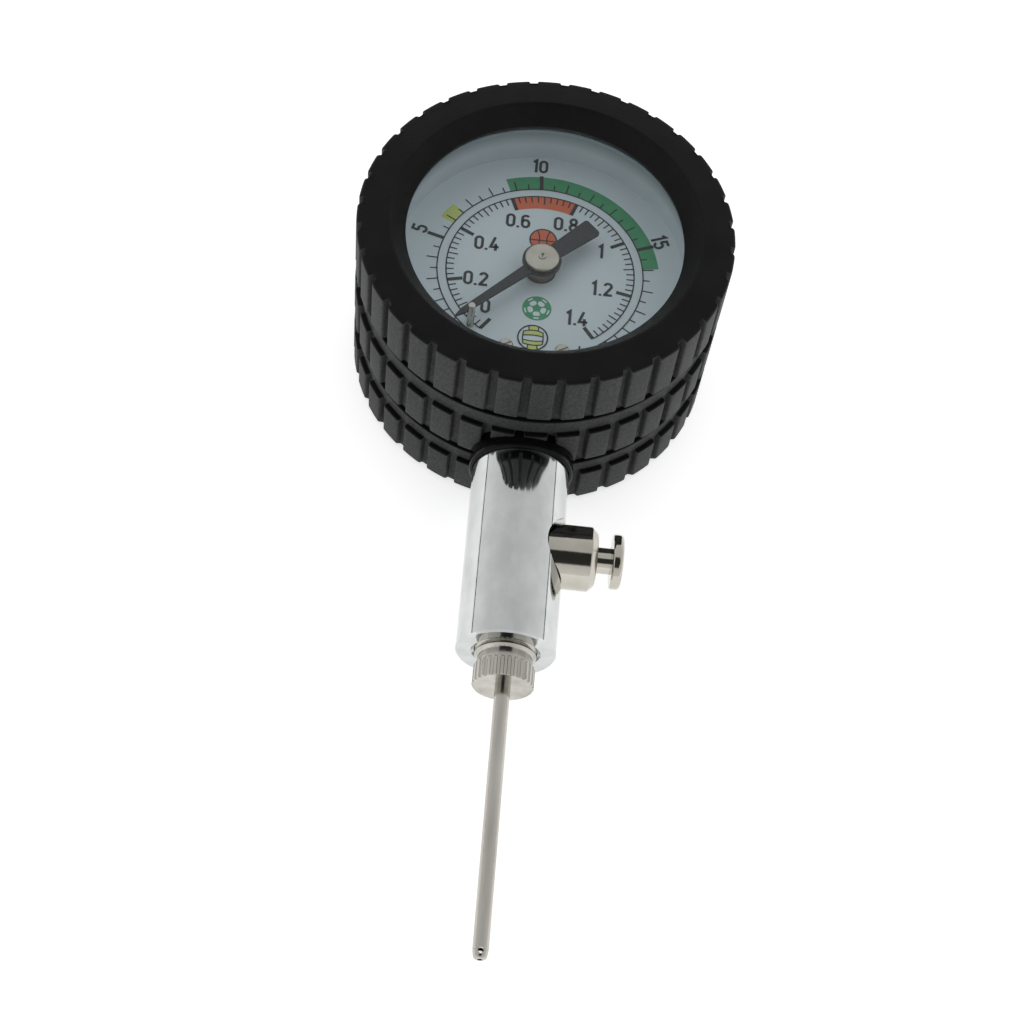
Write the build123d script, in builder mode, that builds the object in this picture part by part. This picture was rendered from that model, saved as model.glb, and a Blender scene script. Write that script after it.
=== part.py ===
"""Ball pressure gauge: a Bourdon gauge in a rubber boot, with a bleed valve and an inflation needle.

Millimetres. The gauge lies on its back: the back rest face is at z = 0, the dial faces +Z with twelve
o'clock towards +Y, the stem and the needle run along -Y and the bleed valve points to +X.
"""
import os
from math import atan, cos, pi, radians, sin, tan

from build123d import *

os.makedirs("parts", exist_ok=True)

# ---------------------------------------------------------------- driving dimensions
# rubber boot
BOOT_R = 25.0  # outside of the tread blocks
BOOT_DEPTH = 30.0  # back rest face to the ridge of the front ring
TREAD_DEPTH = 1.35
TREAD_ROWS = ((0.9, 6.7), (10.4, 17.0), (21.0, 29.2))  # lowest and highest z of each row of blocks
GROOVE_COUNT = 36
GROOVE_PHASE = -92.0  # angle of one groove
GROOVE_W = 1.15
GROOVE_FLOOR_R = (24.15, 23.9)  # floor of a groove at the lower and the upper end of a block
FRONT_FLOOR_R = 23.85  # the front row's grooves are a little deeper
RUN_OUT_Z = (27.6, 29.3)  # where the front row's grooves run out towards the rim
RIM_NOTCH = 0.65  # depth that is left of a groove at the rim
EDGE_ROUND = 0.35
RIB_R = 24.25
RIB_TOP_Z = (8.6, 19.35)  # upper faces of the smooth ribs in the two channels
WINDOW_R = 18.5
WINDOW_Z = 27.5
RIDGE_R = 20.4
BACK_OPENING_R = 17.0
BACK_EDGE = (0.9, 0.3, 0.25)  # the two steps of the rounded back edge: radius, radius and height
COLLAR_R = 6.95
COLLAR_Y = -26.4
COLLAR_ROUND = 0.4

# case and window
CASE_R = 21.6
CASE_WALL = 0.9
CASE_BACK_Z = 1.2
CASE_BACK_T = 0.8
LENS_T = 1.5
LENS_TOP_Z = 27.05
GASKET_T = 0.6
RING_R = 19.8  # bore of the pale ring between the dial and the lens
CASE_SCREW_XY = (3.4, -14.0)
CASE_SCREW_R = 1.0
CASE_SCREW_HEAD_R = 1.9
CASE_SCREW_HEAD_H = 0.9
CASE_SCREW_LENGTH = 6.2
BUSHING_R = 2.0

# dial and pointer
DIAL_Z = 19.5  # face of the dial
DIAL_T = 0.4
DIAL_R = 20.4
DIAL_SCREW_XY = (3.75, -12.8)
DIAL_SCREW_R = 0.6
DIAL_SCREW_HEAD_R = 0.95
DIAL_SCREW_HEAD_H = 0.5
DIAL_SCREW_LENGTH = 3.3
PIN_R = 0.5
PIN_AT_R = 13.3
PIN_ANGLE = 229.0
PIN_H = 4.5
POINTER_ANGLE = 224.5
POINTER_TIP = 15.3
POINTER_TAIL = 9.3
POINTER_Z = 21.7
POINTER_T = 0.45
POINTER_DISC_R = 2.65
POINTER_HALF_WIDTHS = (0.42, 0.85, 1.0, 1.45)  # near the tip, both sides of the disc, at the tail
POINTER_POINT = 1.6  # length of the point
POINTER_BUSH_R = 1.5
CAP_R = 2.3
CAP_H = 0.6
DIMPLE_R = 0.58  # dimple in the middle of the cap
DIMPLE_DEPTH = 0.28
CENTER_BUSH_R = 2.0
CENTER_BUSH_TOP_Z = 20.9

# stem, needle and bleed valve
STEM_R = 6.43
STEM_CHAMFER = 0.25
STEM_Z = 9.8
STEM_TOP_Y = -22.8
STEM_END_Y = -53.15
SHANK_R = 3.2
SHANK_END_Y = -28.8
PASSAGE_R = 1.5
SOCKET_R = 4.05  # threaded socket for the needle
MOUTH_CHAMFER = 0.45
SOCKET_TOP_Y = -45.8
WASHER_T = 0.8
THREAD_R = 3.95
THREAD_ROOT_R = 3.55
THREAD_PITCH = 25.4 / 32
THREAD_TURNS = 9
NECK_R = 3.5
KNURL_R = 3.93
KNURL_Y = (-55.1, -57.8)
KNURL_COUNT = 28
KNURL_CUT = (0.26, 0.06)  # radius of a cut, and how far its centre stands outside the knurl
NEEDLE_R = 1.0
NEEDLE_SEAT_R = 0.8  # part of the tube inside the hub
NEEDLE_BORE_R = 0.55
NEEDLE_TIP_Y = -92.7
SIDE_HOLE_Y = -91.8
SIDE_HOLE_R = 0.35
VALVE_Y = -38.3
VALVE_R = 4.25
VALVE_SEAT_X = 3.9  # flat spot face on the stem
SPOT_FACE_R = 5.05
VALVE_GASKET_T = 0.3
VALVE_END_X = 10.7
VALVE_THREAD_R = 3.2
VALVE_THREAD_X = 1.2
CHAMBER_R = 2.35
CHAMBER_X = (-1.8, 7.4)
ROD_R = 1.72
BUTTON_R = 3.6
BUTTON_X = (12.7, 14.1)
DISH_R = 4.5  # shallow dish in the button's face
DISH_DEPTH = 0.3
SPRING_R = 1.75
SPRING_WIRE_R = 0.2
SPRING_TURNS = 6

# socket block
BLOCK_W = 13.0
BLOCK_Y = (-19.5, -12.0)
BLOCK_HEAD_Y = -11.0  # the block is a little deeper under the dial
PORT_R = 0.9  # air passages
PORT_Y = -14.6
CROSS_PORT_R = 0.6
CROSS_PORT_LENGTH = 5.8

# Bourdon tube and movement
TUBE_R = 15.0  # radius of the tube's bend
TUBE_W = 1.8
TUBE_H = 6.4
TUBE_WALL = 0.35
TUBE_Z = 9.0
TUBE_START = -68.0
TUBE_END = 200.0
TUBE_CAP_ANGLE = 3.0
MODULE = 0.25
PRESSURE_ANGLE = 20.0
PINION_TEETH = 8
SECTOR_TEETH = 80  # on the full circle
SECTOR_SWING = 27.8
SECTOR_AT_ANGLE = 240.0  # direction of the sector's pivot, seen from the pinion
BACKLASH = 0.07
TAIL_R = 5.0
LINK_LENGTH = 7.5
PULL_ANGLE = 200.0  # the way that the Bourdon tube's end moves
PLATE_R = 12.8
FRONT_PLATE_EDGE_Y = -10.7  # the front plate stops short of the socket block
OPENING_SPOT = (0, 7.5)  # round openings in both plates
OPENING_R = 3.0
FOOT_SIZE = (11.0, 8.0)  # the back plate's foot under the socket block
FOOT_Y = -12.5
BACK_PLATE_Z = (4.2, 5.0)
FRONT_PLATE_Z = (12.2, 13.0)
GEAR_Z = (7.6, 8.4)
LINK_Z = (8.6, 9.1)
LINK_PIN_R = 0.45
LINK_PLAY = 0.2
PIN_HEAD_H = 0.3
LINK_EYE_R = (1.25, 1.0)  # at the sector's pin and at the tube's end
TIP_LUG_R = (1.2, 0.7)  # at the pin and at the tube
SECTOR_HUB_R = 1.9
SECTOR_TAIL_HALF = (1.3, 0.95)  # half width of the sector's tail at the hub and at the pin
SECTOR_RIM_R = 8.2  # inside of the toothed rim
ARBOR_R = 0.5
ARBOR_Z = (4.3, 22.3)
SECTOR_ARBOR_R = 0.8
PILLAR_R = 1.3
PILLAR_SPOTS = ((9.5, 5.5), (-9.5, 5.5), (8.0, -8.0))
SMALL_SCREW_R = 0.6
SMALL_SCREW_HEAD = (1.0, 0.5)  # radius and height
HAIRSPRING_Z = (10.4, 10.9)
HAIRSPRING_R = (1.4, 4.2)
HAIRSPRING_T = 0.12
HAIRSPRING_HALF_TURNS = 10
COLLET_R = 1.3
STUD_R = 0.5

# fits
FIT_GAP = 0.1
RUNNING_GAP = 0.05
SEAT_GAP = 0.02
FROM_BASE = (Align.CENTER, Align.CENTER, Align.MIN)


def polar(radius, angle, centre=(0.0, 0.0)):
    """A point at a radius and an angle in degrees from a centre."""
    return (centre[0] + radius * cos(radians(angle)), centre[1] + radius * sin(radians(angle)))


def mirrored(spot):
    """A place and its twin across the YZ plane."""
    return ((-spot[0], spot[1]), spot)


# ---------------------------------------------------------------- planes and worked-out sizes
stem_plane = Plane(origin=(0, 0, STEM_Z), x_dir=(1, 0, 0), z_dir=(0, -1, 0))
stem_profile_plane = Plane.XY.offset(STEM_Z)
stem_axis = Axis((0, 0, STEM_Z), (0, -1, 0))
valve_plane = Plane(origin=(0, VALVE_Y, STEM_Z), x_dir=(0, 1, 0), z_dir=(1, 0, 0))
pointer_plane = Plane(
    origin=(0, 0, POINTER_Z), x_dir=(*polar(1, POINTER_ANGLE), 0), z_dir=(0, 0, 1)
)
tube_start_plane = Plane(
    origin=(0, 0, 0), x_dir=(*polar(1, TUBE_START), 0), z_dir=(*polar(1, TUBE_START - 90), 0)
)
tube_end_plane = Plane(
    origin=(0, 0, 0), x_dir=(*polar(1, TUBE_END), 0), z_dir=(*polar(1, TUBE_END - 90), 0)
)
channel_r = BOOT_R - TREAD_DEPTH
case_inner_r = CASE_R - CASE_WALL
case_floor_z = CASE_BACK_Z + CASE_BACK_T
cavity_r = case_inner_r - FIT_GAP
lens_bottom_z = LENS_TOP_Z - LENS_T
gasket_bottom_z = lens_bottom_z - GASKET_T
dial_back_z = DIAL_Z - DIAL_T
pinion_pitch_r = MODULE * PINION_TEETH / 2
sector_pitch_r = MODULE * SECTOR_TEETH / 2
sector_pivot = polar(pinion_pitch_r + sector_pitch_r, SECTOR_AT_ANGLE)
mesh_angle = SECTOR_AT_ANGLE - 180  # direction of the pinion, seen from the sector's pivot
tail_angle = PULL_ANGLE - 90 - SECTOR_SWING / 2
tail_pin_spot = polar(TAIL_R, tail_angle, sector_pivot)
tip_pin_spot = polar(LINK_LENGTH, PULL_ANGLE, tail_pin_spot)
case_screw_spots = mirrored(CASE_SCREW_XY)
dial_screw_spots = mirrored(DIAL_SCREW_XY)
pin_spot = polar(PIN_AT_R, PIN_ANGLE)
block_foot_z = BACK_PLATE_Z[1]
block_step_z = FRONT_PLATE_Z[1] + 0.4
cross_port_plane = Plane(origin=(0, PORT_Y, TUBE_Z), x_dir=(0, 1, 0), z_dir=(1, 0, 0))
tip_lug_z = GEAR_Z[0] - 0.2
pin_head_z = LINK_Z[1] + 0.2
thread_top_y = SOCKET_TOP_Y - WASHER_T

# ---------------------------------------------------------------- rubber boot
row_a, row_b, row_c = TREAD_ROWS
groove_floors = (  # radius and height along the floor of a groove, for each row of blocks
    ((GROOVE_FLOOR_R[0], -0.5), (GROOVE_FLOOR_R[1], row_a[1])),
    ((GROOVE_FLOOR_R[0], row_b[0]), (GROOVE_FLOOR_R[1], row_b[1])),
    (
        (GROOVE_FLOOR_R[0], row_c[0]),
        (FRONT_FLOOR_R, RUN_OUT_Z[0]),
        (BOOT_R - RIM_NOTCH, RUN_OUT_Z[1]),
        (BOOT_R - RIM_NOTCH, BOOT_DEPTH + 1),
    ),
)
with BuildPart() as groove_cutter:
    for floor in groove_floors:
        with BuildSketch(Plane.XZ):
            with BuildLine():
                Polyline(*floor, (BOOT_R + 1, floor[-1][1]), (BOOT_R + 1, floor[0][1]), close=True)
            make_face()
        extrude(amount=GROOVE_W / 2, both=True)

with BuildPart() as rubber_boot:
    with BuildSketch(Plane.XZ):
        with BuildLine():
            Polyline(
                (BACK_OPENING_R, 0),
                (BOOT_R - BACK_EDGE[0], 0),
                (BOOT_R - BACK_EDGE[1], BACK_EDGE[2]),
                (BOOT_R, row_a[0]),
                (BOOT_R, row_a[1]),
                (RIB_R, row_a[1]),
                (RIB_R, RIB_TOP_Z[0]),
                (channel_r, RIB_TOP_Z[0]),
                (channel_r, row_b[0]),
                (BOOT_R - EDGE_ROUND, row_b[0]),
                (BOOT_R, row_b[0] + EDGE_ROUND),
                (BOOT_R, row_b[1]),
                (RIB_R, row_b[1]),
                (RIB_R, RIB_TOP_Z[1]),
                (channel_r, RIB_TOP_Z[1]),
                (channel_r, row_c[0]),
                (BOOT_R - EDGE_ROUND, row_c[0]),
                (BOOT_R, row_c[0] + EDGE_ROUND),
                (BOOT_R, row_c[1]),
                (BOOT_R - EDGE_ROUND, row_c[1] + EDGE_ROUND),
                (RIDGE_R, BOOT_DEPTH),
                (WINDOW_R, WINDOW_Z),
                (WINDOW_R, LENS_TOP_Z),
                (CASE_R, LENS_TOP_Z),
                (CASE_R, CASE_BACK_Z),
                (BACK_OPENING_R, CASE_BACK_Z),
                close=True,
            )
        make_face()
    revolve(axis=Axis.Z)
    with PolarLocations(0, GROOVE_COUNT, start_angle=GROOVE_PHASE):
        add(groove_cutter.part, mode=Mode.SUBTRACT)
    # the collar around the stem stands on the wall, and none of it reaches into the case
    with BuildSketch(stem_plane.offset(CASE_R - 2)):
        Circle(COLLAR_R)
    extrude(amount=-COLLAR_Y - CASE_R + 2)
    fillet(rubber_boot.edges().filter_by(GeomType.CIRCLE).sort_by(Axis.Y)[0], COLLAR_ROUND)
    with Locations((0, 0, CASE_BACK_Z)):
        Cylinder(CASE_R, LENS_TOP_Z - CASE_BACK_Z, align=FROM_BASE, mode=Mode.SUBTRACT)
    with BuildSketch(stem_plane.offset(WINDOW_R - 3)):
        Circle(STEM_R + SEAT_GAP)
    extrude(amount=CASE_R, mode=Mode.SUBTRACT)
rubber_boot.part.label = "rubber_boot"
export_step(rubber_boot.part, "parts/rubber_boot.step")

# ---------------------------------------------------------------- case and window
with BuildPart() as case_shell:
    with BuildSketch(Plane.XZ):
        with BuildLine():
            Polyline(
                (0, CASE_BACK_Z),
                (CASE_R - 0.6, CASE_BACK_Z),
                (CASE_R, CASE_BACK_Z + 0.6),
                (CASE_R, LENS_TOP_Z),
                (case_inner_r, LENS_TOP_Z),
                (case_inner_r, case_floor_z),
                (0, case_floor_z),
                close=True,
            )
        make_face()
    revolve(axis=Axis.Z)
    with BuildSketch(stem_plane.offset(15)):
        Circle(SHANK_R + FIT_GAP)
    extrude(amount=10, mode=Mode.SUBTRACT)
    with BuildSketch(Plane.XY.offset(CASE_BACK_Z)):
        with Locations(*case_screw_spots):
            Circle(CASE_SCREW_R + RUNNING_GAP)
    extrude(amount=CASE_BACK_T, mode=Mode.SUBTRACT)
case_shell.part.label = "case_shell"
export_step(case_shell.part, "parts/case_shell.step")

with BuildPart() as case_screws:
    with BuildSketch(Plane.XY.offset(CASE_BACK_Z)):
        with Locations(*case_screw_spots):
            Circle(CASE_SCREW_HEAD_R)
    extrude(amount=-CASE_SCREW_HEAD_H)
    chamfer(case_screws.edges().group_by(Axis.Z)[0], 0.25)
    with BuildSketch(Plane.XY.offset(CASE_BACK_Z)):
        with Locations(*case_screw_spots):
            Circle(CASE_SCREW_R)
    extrude(amount=CASE_SCREW_LENGTH)
    with BuildSketch(Plane.XY.offset(CASE_BACK_Z - CASE_SCREW_HEAD_H)):
        with Locations(*case_screw_spots):
            Rectangle(2.2, 0.5)
            Rectangle(0.5, 2.2)
    extrude(amount=0.5, mode=Mode.SUBTRACT)
case_screws.part.label = "case_screws"
export_step(case_screws.part, "parts/case_screws.step")

with BuildPart() as lens:
    with BuildSketch(Plane.XY.offset(lens_bottom_z)):
        Circle(cavity_r)
    extrude(amount=LENS_T)
    chamfer(lens.edges(), 0.2)
lens.part.label = "lens"
export_step(lens.part, "parts/lens.step")

with BuildPart() as lens_gasket:
    with BuildSketch(Plane.XY.offset(gasket_bottom_z)):
        Circle(cavity_r)
        Circle(RING_R - 0.2, mode=Mode.SUBTRACT)
    extrude(amount=GASKET_T)
lens_gasket.part.label = "lens_gasket"
export_step(lens_gasket.part, "parts/lens_gasket.step")

# ---------------------------------------------------------------- dial
with BuildPart() as dial_ring:
    with BuildSketch(Plane.XY.offset(DIAL_Z)):
        Circle(cavity_r)
        Circle(RING_R, mode=Mode.SUBTRACT)
    extrude(amount=gasket_bottom_z - DIAL_Z)
dial_ring.part.label = "dial_ring"
export_step(dial_ring.part, "parts/dial_ring.step")

with BuildPart() as dial_plate:
    with BuildSketch(Plane.XY.offset(dial_back_z)):
        Circle(DIAL_R)
        Circle(CENTER_BUSH_R + FIT_GAP, mode=Mode.SUBTRACT)
        with Locations(*dial_screw_spots):
            Circle(DIAL_SCREW_R + RUNNING_GAP, mode=Mode.SUBTRACT)
        with Locations(pin_spot):
            Circle(PIN_R, mode=Mode.SUBTRACT)
    extrude(amount=DIAL_T)
dial_plate.part.label = "dial_plate"
export_step(dial_plate.part, "parts/dial_plate.step")

with BuildPart() as dial_screws:
    with BuildSketch(Plane.XY.offset(DIAL_Z)):
        with Locations(*dial_screw_spots):
            Circle(DIAL_SCREW_HEAD_R)
    extrude(amount=DIAL_SCREW_HEAD_H)
    chamfer(dial_screws.edges().group_by(Axis.Z)[-1], 0.15)
    with BuildSketch(Plane.XY.offset(DIAL_Z)):
        with Locations(*dial_screw_spots):
            Circle(DIAL_SCREW_R)
    extrude(amount=-DIAL_SCREW_LENGTH)
    with BuildSketch(Plane.XY.offset(DIAL_Z + DIAL_SCREW_HEAD_H)):
        with Locations(*dial_screw_spots):
            Rectangle(3 * DIAL_SCREW_HEAD_R, 0.3, rotation=30)
    extrude(amount=-0.25, mode=Mode.SUBTRACT)
dial_screws.part.label = "dial_screws"
export_step(dial_screws.part, "parts/dial_screws.step")

with BuildPart() as stop_pin:
    with BuildSketch(Plane.XY.offset(dial_back_z)):
        with Locations(pin_spot):
            Circle(PIN_R)
    extrude(amount=DIAL_T + PIN_H)
    fillet(stop_pin.edges().group_by(Axis.Z)[-1], 0.15)
stop_pin.part.label = "stop_pin"
export_step(stop_pin.part, "parts/stop_pin.step")

# ---------------------------------------------------------------- pointer
near_tip, blade_root, tail_root, tail_end = POINTER_HALF_WIDTHS
with BuildPart() as pointer:
    with BuildSketch(pointer_plane):
        with BuildLine():
            Polyline(
                (POINTER_TIP, 0),
                (POINTER_TIP - POINTER_POINT, near_tip),
                (0, blade_root),
                (0, tail_root),
                (-POINTER_TAIL, tail_end),
                (-POINTER_TAIL, -tail_end),
                (0, -tail_root),
                (0, -blade_root),
                (POINTER_TIP - POINTER_POINT, -near_tip),
                close=True,
            )
        make_face()
        fillet(vertices().sort_by(Axis.X)[0:2], 0.4)
        Circle(POINTER_DISC_R)
        Circle(ARBOR_R, mode=Mode.SUBTRACT)
    extrude(amount=POINTER_T)
pointer.part.label = "pointer"
export_step(pointer.part, "parts/pointer.step")

with BuildPart() as pointer_bush:
    with BuildSketch(Plane.XY.offset(POINTER_Z)):
        Circle(POINTER_BUSH_R)
        Circle(ARBOR_R, mode=Mode.SUBTRACT)
    extrude(amount=CENTER_BUSH_TOP_Z + 0.2 - POINTER_Z)
pointer_bush.part.label = "pointer_bush"
export_step(pointer_bush.part, "parts/pointer_bush.step")

cap_z = POINTER_Z + POINTER_T
cap_top_z = cap_z + CAP_H
with BuildPart() as pointer_cap:
    with BuildSketch(Plane.XZ):
        with BuildLine():
            Polyline(
                (0, cap_z),
                (CAP_R, cap_z),
                (CAP_R, cap_top_z - 0.2),
                (CAP_R - 0.06, cap_top_z - 0.06),
                (CAP_R - 0.2, cap_top_z),
                (DIMPLE_R, cap_top_z + 0.06),
                (0, cap_top_z - DIMPLE_DEPTH),
                close=True,
            )
        make_face()
    revolve(axis=Axis.Z)
    with Locations((0, 0, cap_z)):
        Cylinder(ARBOR_R, ARBOR_Z[1] - cap_z, align=FROM_BASE, mode=Mode.SUBTRACT)
pointer_cap.part.label = "pointer_cap"
export_step(pointer_cap.part, "parts/pointer_cap.step")

with BuildPart() as center_bush:
    with Locations((0, 0, FRONT_PLATE_Z[0])):
        Cylinder(POINTER_BUSH_R, FRONT_PLATE_Z[1] - FRONT_PLATE_Z[0], align=FROM_BASE)
    with Locations((0, 0, FRONT_PLATE_Z[1])):
        Cylinder(CENTER_BUSH_R, CENTER_BUSH_TOP_Z - FRONT_PLATE_Z[1], align=FROM_BASE)
    chamfer(center_bush.edges().group_by(Axis.Z)[-1], 0.2)
    with Locations((0, 0, FRONT_PLATE_Z[0])):
        Cylinder(ARBOR_R + RUNNING_GAP, ARBOR_Z[1], align=FROM_BASE, mode=Mode.SUBTRACT)
center_bush.part.label = "center_bush"
export_step(center_bush.part, "parts/center_bush.step")

# ---------------------------------------------------------------- stem
with BuildPart() as stem:
    with BuildSketch(stem_plane.offset(-STEM_TOP_Y)):
        Circle(STEM_R)
    extrude(amount=STEM_TOP_Y - STEM_END_Y)
    chamfer(stem.edges().sort_by(Axis.Y)[0], STEM_CHAMFER)
    with BuildSketch(stem_plane.offset(-STEM_TOP_Y)):
        Circle(SHANK_R + SEAT_GAP)
    extrude(amount=STEM_TOP_Y - SHANK_END_Y + FIT_GAP, mode=Mode.SUBTRACT)
    with BuildSketch(stem_plane.offset(-STEM_TOP_Y)):
        Circle(PASSAGE_R)
    extrude(amount=STEM_TOP_Y - SOCKET_TOP_Y, mode=Mode.SUBTRACT)
    with BuildSketch(stem_plane.offset(-SOCKET_TOP_Y)):
        Circle(SOCKET_R)
    extrude(amount=SOCKET_TOP_Y - STEM_END_Y, mode=Mode.SUBTRACT)
    end_circles = stem.edges().filter_by(GeomType.CIRCLE).group_by(Axis.Y)[0]
    chamfer(end_circles.sort_by(SortBy.RADIUS)[0], MOUTH_CHAMFER)
    # spot face, thread hole and spring chamber of the bleed valve
    with BuildSketch(valve_plane.offset(VALVE_SEAT_X)):
        Circle(SPOT_FACE_R)
    extrude(amount=STEM_R, mode=Mode.SUBTRACT)
    with BuildSketch(valve_plane.offset(VALVE_THREAD_X - FIT_GAP)):
        Circle(VALVE_THREAD_R + SEAT_GAP)
    extrude(amount=STEM_R, mode=Mode.SUBTRACT)
    with BuildSketch(valve_plane.offset(CHAMBER_X[0])):
        Circle(CHAMBER_R)
    extrude(amount=STEM_R, mode=Mode.SUBTRACT)
stem.part.label = "stem"
export_step(stem.part, "parts/stem.step")

with BuildPart() as stem_washer:
    with BuildSketch(stem_plane.offset(-STEM_TOP_Y)):
        Circle(STEM_R - FIT_GAP)
        Circle(SHANK_R + FIT_GAP, mode=Mode.SUBTRACT)
    extrude(amount=-4)
    with Locations((0, 0, CASE_BACK_Z)):
        Cylinder(CASE_R, LENS_TOP_Z, align=FROM_BASE, mode=Mode.SUBTRACT)
stem_washer.part.label = "stem_washer"
export_step(stem_washer.part, "parts/stem_washer.step")

# ---------------------------------------------------------------- bleed valve
with BuildPart() as valve_gasket:
    with BuildSketch(valve_plane.offset(VALVE_SEAT_X)):
        Circle(VALVE_R - 0.15)
        Circle(VALVE_THREAD_R + FIT_GAP, mode=Mode.SUBTRACT)
    extrude(amount=VALVE_GASKET_T)
valve_gasket.part.label = "valve_gasket"
export_step(valve_gasket.part, "parts/valve_gasket.step")

with BuildPart() as valve_body:
    with BuildSketch(valve_plane.offset(VALVE_SEAT_X + VALVE_GASKET_T)):
        Circle(VALVE_R)
    extrude(amount=VALVE_END_X - VALVE_SEAT_X - VALVE_GASKET_T)
    chamfer(valve_body.edges().sort_by(Axis.X)[-1], 0.8)
    fillet(valve_body.edges().filter_by(GeomType.CIRCLE).sort_by(Axis.X)[-2:], 0.2)
    with BuildSketch(valve_plane.offset(VALVE_THREAD_X)):
        Circle(VALVE_THREAD_R)
    extrude(amount=VALVE_SEAT_X + VALVE_GASKET_T - VALVE_THREAD_X)
    with BuildSketch(valve_plane.offset(VALVE_THREAD_X)):
        Circle(CHAMBER_R)
    extrude(amount=CHAMBER_X[1] - VALVE_THREAD_X, mode=Mode.SUBTRACT)
    with BuildSketch(valve_plane.offset(VALVE_THREAD_X)):
        Circle(ROD_R + RUNNING_GAP)
    extrude(amount=VALVE_END_X, mode=Mode.SUBTRACT)
valve_body.part.label = "valve_body"
export_step(valve_body.part, "parts/valve_body.step")

seal_x = CHAMBER_X[1] - 0.5
flange_x = seal_x - 1.0
with BuildPart() as valve_plunger:
    with BuildSketch(valve_plane.offset(flange_x)):
        Circle(CHAMBER_R - 0.15)
    extrude(amount=seal_x - flange_x)
    with BuildSketch(valve_plane.offset(seal_x)):
        Circle(ROD_R)
    extrude(amount=BUTTON_X[0] - seal_x)
    with BuildSketch(valve_plane.offset(BUTTON_X[0])):
        Circle(BUTTON_R)
    extrude(amount=BUTTON_X[1] - BUTTON_X[0])
    button_edges = valve_plunger.edges().filter_by(GeomType.CIRCLE).sort_by(SortBy.RADIUS)[-2:]
    fillet(button_edges.sort_by(Axis.X)[1], 0.55)
    button_back = valve_plunger.edges().filter_by(GeomType.CIRCLE).sort_by(SortBy.RADIUS)[-2:]
    fillet(button_back.sort_by(Axis.X)[0], 0.3)
    with Locations((BUTTON_X[1] + DISH_R - DISH_DEPTH, VALVE_Y, STEM_Z)):
        Sphere(DISH_R, mode=Mode.SUBTRACT)
valve_plunger.part.label = "valve_plunger"
export_step(valve_plunger.part, "parts/valve_plunger.step")

with BuildPart() as plunger_seal:
    with BuildSketch(valve_plane.offset(seal_x)):
        Circle(CHAMBER_R - 0.15)
        Circle(ROD_R, mode=Mode.SUBTRACT)
    extrude(amount=CHAMBER_X[1] - seal_x)
plunger_seal.part.label = "plunger_seal"
export_step(plunger_seal.part, "parts/plunger_seal.step")

spring_x = (CHAMBER_X[0] + SPRING_WIRE_R + RUNNING_GAP, flange_x - SPRING_WIRE_R - RUNNING_GAP)
with BuildPart() as valve_spring:
    with BuildLine():
        spring_coil = Helix(
            pitch=(spring_x[1] - spring_x[0]) / SPRING_TURNS,
            height=spring_x[1] - spring_x[0],
            radius=SPRING_R,
            center=(spring_x[0], VALVE_Y, STEM_Z),
            direction=(1, 0, 0),
        )
    with BuildSketch(Plane(origin=spring_coil @ 0, z_dir=spring_coil % 0)):
        Circle(SPRING_WIRE_R)
    sweep()
valve_spring.part.label = "valve_spring"
export_step(valve_spring.part, "parts/valve_spring.step")

# ---------------------------------------------------------------- needle
with BuildPart() as needle_washer:
    with BuildSketch(stem_plane.offset(-SOCKET_TOP_Y)):
        Circle(THREAD_ROOT_R)
        Circle(PASSAGE_R, mode=Mode.SUBTRACT)
    extrude(amount=WASHER_T)
needle_washer.part.label = "needle_washer"
export_step(needle_washer.part, "parts/needle_washer.step")


def thread_outline():
    """Radius and place along the stem of the crests and roots of the needle's thread."""
    points = []
    for turn in range(THREAD_TURNS):
        y = thread_top_y - turn * THREAD_PITCH
        points.append((THREAD_ROOT_R, y))
        points.append((THREAD_R, y - 0.4 * THREAD_PITCH))
        points.append((THREAD_R, y - 0.6 * THREAD_PITCH))
    points.append((THREAD_ROOT_R, thread_top_y - THREAD_TURNS * THREAD_PITCH))
    return points


tube_seat_y = KNURL_Y[0] + 1.0
with BuildPart() as needle_hub:
    with BuildSketch(stem_profile_plane):
        with BuildLine():
            Polyline(
                (NEEDLE_BORE_R, thread_top_y),
                *thread_outline(),
                (NECK_R, thread_top_y - THREAD_TURNS * THREAD_PITCH - 0.1),
                (NECK_R, KNURL_Y[0]),
                (KNURL_R - 0.15, KNURL_Y[0]),
                (KNURL_R, KNURL_Y[0] - 0.15),
                (KNURL_R, KNURL_Y[1] + 0.15),
                (KNURL_R - 0.15, KNURL_Y[1]),
                (NEEDLE_SEAT_R, KNURL_Y[1]),
                (NEEDLE_SEAT_R, tube_seat_y),
                (NEEDLE_BORE_R, tube_seat_y),
                close=True,
            )
        make_face()
    revolve(axis=stem_axis)
    with BuildSketch(stem_plane.offset(-KNURL_Y[0])):
        with PolarLocations(KNURL_R + KNURL_CUT[1], KNURL_COUNT):
            Circle(KNURL_CUT[0])
    extrude(amount=KNURL_Y[0] - KNURL_Y[1], mode=Mode.SUBTRACT)
needle_hub.part.label = "needle_hub"
export_step(needle_hub.part, "parts/needle_hub.step")

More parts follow.
